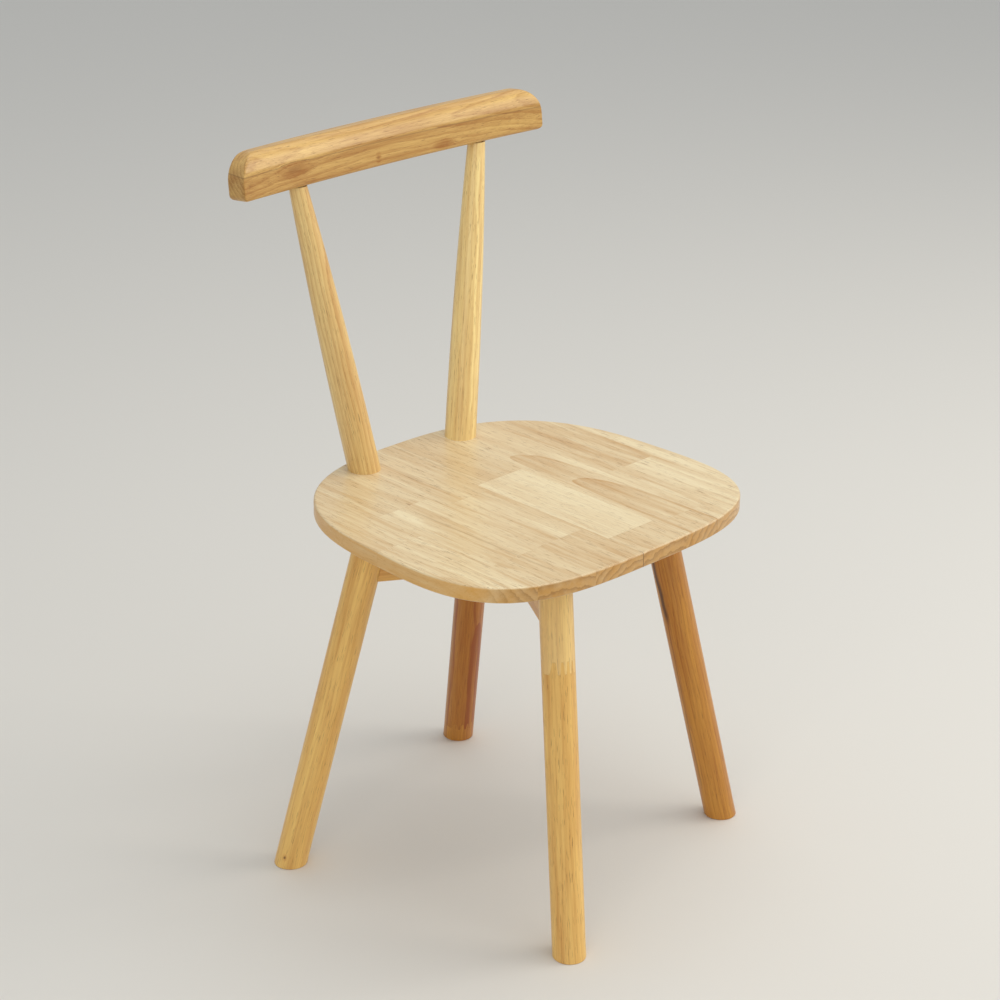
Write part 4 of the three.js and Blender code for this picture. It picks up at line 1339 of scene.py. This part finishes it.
class CHAIR_OT_plates(bpy.types.Operator):
    """Make the two square steel plates of the swivel"""

    bl_idname = "chair.plates"
    bl_label = "Swivel plates"

    def execute(self, context):
        sizes = context.scene.chair_metal
        upper_low, upper_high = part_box("swivel_upper_plate")
        half = upper_high.x
        corner, edge = sizes.plate_corner, sizes.plate_edge
        inner = half - corner
        outline = []
        for i, (x, y) in enumerate(((1, 1), (-1, 1), (-1, -1), (1, -1))):
            outline += arc((x * inner, y * inner), corner - edge, 90 * i, 90 * (i + 1), 10)
        for name, screws, body in (("upper", "seat_screw_", SEAT_BODY),
                                   ("lower", "batten_screw_", LEG_BODY)):
            node = "swivel_" + name + "_plate"
            low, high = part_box(node)
            turn = 0.0
            if name == "lower":
                foot = FEET["foot_rear_right"]
                turn = math.atan2(foot.y, foot.x) - math.pi / 4
            holes = [(0, 0, sizes.plate_opening + edge, 96)]
            for i in range(4):
                spot = sum(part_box(screws + str(i + 1)), Vector()) / 2
                spot.rotate(Matrix.Rotation(-turn, 3, "Z"))
                holes.append((spot.x, spot.y, sizes.shank / 2 + sizes.hole_gap + edge, 32))
            plate = flat_plate("plate_" + name, outline, holes, low.z, high.z, edge)
            plate.data.transform(Matrix.Rotation(turn, 4, "Z"))
            hand_over(plate, metal("zinc_plate"), body, "swivel_steel", node)
        return {"FINISHED"}


class CHAIR_OT_race(bpy.types.Operator):
    """Make the two rings of the ball race, the balls and their cage"""

    bl_idname = "chair.race"
    bl_label = "Ball race"

    def execute(self, context):
        sizes = context.scene.chair_metal
        zinc, bright = metal("zinc_plate"), metal("bright_steel")
        for name, body in (("lower", LEG_BODY), ("upper", SEAT_BODY)):
            node = "swivel_" + name + "_race"
            outline = softened(ring_outline(node), sizes.race_edge)
            ring = turned_ring("race_" + name, outline)
            hand_over(ring, zinc, body, "swivel_steel", node)
        low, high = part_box("ball_ring")
        middle = (low.z + high.z) / 2
        half, thick = sizes.cage_half_width, sizes.cage_thick / 2
        circle = sizes.ball_circle
        cage = turned_ring("ball_ring_set", softened(
            [(circle - half, middle - thick), (circle + half, middle - thick),
             (circle + half, middle + thick), (circle - half, middle + thick)],
            0.3 * MM))
        solid = bmesh.new()
        solid.from_mesh(cage.data)
        count = 24
        for i in range(count):
            turn = 2 * math.pi * i / count
            turned = FEET["foot_rear_right"]
            turn += math.atan2(turned.y, turned.x)
            place = Matrix.Translation((circle * math.cos(turn), circle * math.sin(turn), middle))
            bmesh.ops.create_uvsphere(solid, u_segments=24, v_segments=14,
                                      radius=sizes.ball_radius, matrix=place)
        solid.to_mesh(cage.data)
        solid.free()
        hand_over(cage, bright, CAGE_BODY, "ball_steel", "ball_ring")
        return {"FINISHED"}


def ring_outline(node):
    """A turned node's own section: its points on one radial line, in order round the section."""
    mesh = frame["nodes"][node].data
    low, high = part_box(node)
    levels = sorted({round(v.co.z, 5) for v in mesh.vertices})
    radii = {level: sorted({round(v.co.xy.length, 4) for v in mesh.vertices
                            if abs(v.co.z - level) < 2e-5}) for level in levels}
    return section_walk(levels, radii, node.endswith("lower_race"))


def section_walk(levels, radii, opens_inward):
    """Orders the corner points of the two L-shaped sections."""
    if opens_inward:
        floor, track, lip_low, lip_top = levels
        inner, outer = radii[floor][0], radii[floor][-1]
        wall = [r for r in radii[track] if inner < r < outer][-1]
        lip = radii[lip_top][0]
        return [(inner, floor), (outer, floor), (outer, lip_top), (lip, lip_top), (lip, lip_low),
                (wall, lip_low), (wall, track), (inner, track)]
    flange_low, flange_top, neck_top = levels
    inner, outer = radii[flange_low][0], radii[flange_low][-1]
    neck = radii[neck_top][-1]
    return [(inner, flange_low), (outer, flange_low), (outer, flange_top), (neck, flange_top),
            (neck, neck_top), (inner, neck_top)]


def screw(name, shank, head, head_height, reach, place):
    """A pan-head screw along +Z with a cross recess; the face under its head is at the origin."""
    half, top = shank / 2, -head_height
    dome = [(head / 2 * math.sin(math.radians(a)), top * (0.35 + 0.65 * math.cos(math.radians(a))))
            for a in range(0, 91, 15)]
    profile = [(0, top)] + dome[1:] + [(head / 2, 0), (half, 0)]
    pitch = shank * 0.42
    start = shank * 0.8
    turns = int((reach - start - shank) / pitch)
    for i in range(turns):
        height = start + i * pitch
        profile += [(half * 0.82, height), (half, height + pitch * 0.5)]
    profile += [(half * 0.82, reach - shank), (half * 0.4, reach - shank * 0.35), (0, reach)]
    body = lathe(name, profile, 40)
    wide, slot_width = head * 0.3, head * 0.075
    depth = head_height * 0.62
    arms = [block("recess", (-a, -b, top - 0.001), (a, b, top + depth))
            for a, b in ((wide, slot_width), (slot_width, wide))]
    carve(body, arms)
    body.data.transform(place)
    return body


class CHAIR_OT_screws(bpy.types.Operator):
    """Make the plate screws and the two long screws that pull the posts down"""

    bl_idname = "chair.screws"
    bl_label = "Screws"

    def execute(self, context):
        scene = context.scene
        sizes, back = scene.chair_metal, scene.chair_back
        finish = metal("yellow_zinc")
        for kind, body, upward in (("seat_screw_", SEAT_BODY, True),
                                   ("batten_screw_", LEG_BODY, False)):
            for i in range(1, 5):
                low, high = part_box(kind + str(i))
                spot = (low + high) / 2
                spot.z = low.z + sizes.head_height if upward else high.z - sizes.head_height
                reach = high.z - low.z - sizes.head_height
                place = Matrix.Translation(spot) @ Matrix.Rotation(0.5 * i, 4, "Z")
                if not upward:
                    place = place @ Matrix.Rotation(math.pi, 4, "X")
                piece = screw(kind + str(i) + "_pan", sizes.shank, sizes.head,
                              sizes.head_height, reach, place)
                hand_over(piece, finish, body, "screw_steel", kind + str(i))
        for name, side in SIDES.items():
            base, lean = post_axis(side, back)
            start = base - lean * (back.tenon_depth + sizes.post_web)
            place = Matrix.Translation(start) @ lean.to_track_quat("Z", "Y").to_matrix().to_4x4()
            piece = screw("post_screw_" + name + "_pan", sizes.post_shank, sizes.post_head,
                          sizes.post_head_height, sizes.post_reach, place)
            hand_over(piece, finish, SEAT_BODY, "screw_steel", "post_screw_" + name)
        return {"FINISHED"}


# ---- Stage ---------------------------------------------------------------------------------


def area_light(name, spot, target, size, power, warmth):
    lamp = bpy.data.lights.new(name, "AREA")
    lamp.shape = "RECTANGLE"
    lamp.size, lamp.size_y = size
    lamp.energy = power
    lamp.color = warmth
    holder = bpy.data.objects.new(name, lamp)
    bpy.context.scene.collection.objects.link(holder)
    aim = (Vector(target) - Vector(spot)).to_track_quat("-Z", "Y")
    holder.matrix_world = Matrix.Translation(spot) @ aim.to_matrix().to_4x4()


def set_camera(settings):
    """The camera, from its place round the swivel's axis and the way it looks."""
    around = math.radians(settings.azimuth)
    heading = around + math.radians(settings.yaw)
    pitch, roll = math.radians(settings.pitch), math.radians(settings.roll)
    spot = Vector((math.sin(around) * settings.distance, -math.cos(around) * settings.distance,
                   settings.height))
    level = Vector((-math.sin(heading), math.cos(heading), 0))
    right = Vector((math.cos(heading), math.sin(heading), 0))
    forward = level * math.cos(pitch) - Z_AXIS * math.sin(pitch)
    upward = right.cross(forward)
    camera_right = right * math.cos(roll) + upward * math.sin(roll)
    camera_up = upward * math.cos(roll) - right * math.sin(roll)
    lens = bpy.data.cameras.new("chair_camera")
    lens.sensor_width = 36
    lens.lens = settings.lens
    lens.shift_x, lens.shift_y = settings.shift_x, settings.shift_y
    lens.clip_end = 60
    camera = bpy.data.objects.new("chair_camera", lens)
    bpy.context.scene.collection.objects.link(camera)
    axes = Matrix((camera_right, camera_up, -forward)).transposed().to_4x4()
    camera.matrix_world = Matrix.Translation(spot) @ axes
    bpy.context.scene.camera = camera


class CHAIR_OT_stage(bpy.types.Operator):
    """Make the plain floor, the soft light and the camera"""

    bl_idname = "chair.stage"
    bl_label = "Stage"

    def execute(self, context):
        scene = context.scene
        settings = scene.chair_stage
        set_camera(settings)
        scene.view_settings.view_transform = "Standard"
        solid = bmesh.new()
        bmesh.ops.create_grid(solid, x_segments=1, y_segments=1, size=30)
        floor = mesh_from(solid, "plain_floor")
        paint = bpy.data.materials.new("plain_floor")
        paint.use_nodes = True
        paint.node_tree.nodes.clear()
        sheet = Sheet(paint.node_tree)
        side = sheet.add("ShaderNodeNewGeometry").outputs["Backfacing"]
        painted = sheet.add("ShaderNodeBsdfPrincipled", {
            "Base Color": settings.floor, "Roughness": 0.7}).outputs[0]
        clear = sheet.add("ShaderNodeBsdfTransparent").outputs[0]
        surface = sheet.add("ShaderNodeMixShader", {0: side, 1: painted, 2: clear}).outputs[0]
        sheet.add("ShaderNodeOutputMaterial", {"Surface": surface})
        floor.data.materials.append(paint)
        world = bpy.data.worlds.new("even_light")
        world.use_nodes = True
        background = world.node_tree.nodes["Background"]
        background.inputs["Color"].default_value = settings.sky
        background.inputs["Strength"].default_value = settings.sky_strength
        scene.world = world
        aim = (0, 0, 0.45)
        area_light("ceiling_light", (0.5, -0.4, 3.0), aim, (3.2, 2.4), settings.key_power,
                   (1.0, 0.97, 0.92))
        area_light("fill_light", (-2.8, -1.6, 1.8), aim, (1.8, 1.8), settings.fill_power,
                   (1.0, 0.96, 0.9))
        area_light("side_light", (2.6, -2.0, 1.9), aim, (2.0, 1.6), settings.side_power,
                   (1.0, 0.95, 0.88))
        return {"FINISHED"}


# ---- Panel and registration ----------------------------------------------------------------

STEPS = (CHAIR_OT_stage, CHAIR_OT_seat, CHAIR_OT_crest_rail, CHAIR_OT_posts, CHAIR_OT_legs,
         CHAIR_OT_battens, CHAIR_OT_plates, CHAIR_OT_race, CHAIR_OT_screws)


class CHAIR_PT_sidebar(bpy.types.Panel):
    """Sizes, colours and steps of the swivel chair"""

    bl_idname = "CHAIR_PT_sidebar"
    bl_label = "Swivel Dining Chair"
    bl_space_type = "VIEW_3D"
    bl_region_type = "UI"
    bl_category = "Chair"

    def draw(self, context):
        for step in STEPS:
            self.layout.operator(step.bl_idname)
        for key, group in GROUPS.items():
            box = self.layout.box()
            box.label(text=group.__doc__.strip("."))
            for name in group.__annotations__:
                box.prop(getattr(context.scene, key), name)


def register():
    for part in (*GROUPS.values(), *STEPS, CHAIR_PT_sidebar):
        bpy.utils.register_class(part)
    for key, group in GROUPS.items():
        setattr(bpy.types.Scene, key, bpy.props.PointerProperty(type=group))


def unregister():
    for key in GROUPS:
        delattr(bpy.types.Scene, key)
    for part in reversed((*GROUPS.values(), *STEPS, CHAIR_PT_sidebar)):
        bpy.utils.unregister_class(part)


def main():
    register()
    for step in STEPS:
        family, name = step.bl_idname.split(".")
        getattr(getattr(bpy.ops, family), name)()


if __name__ == "__main__":
    main()
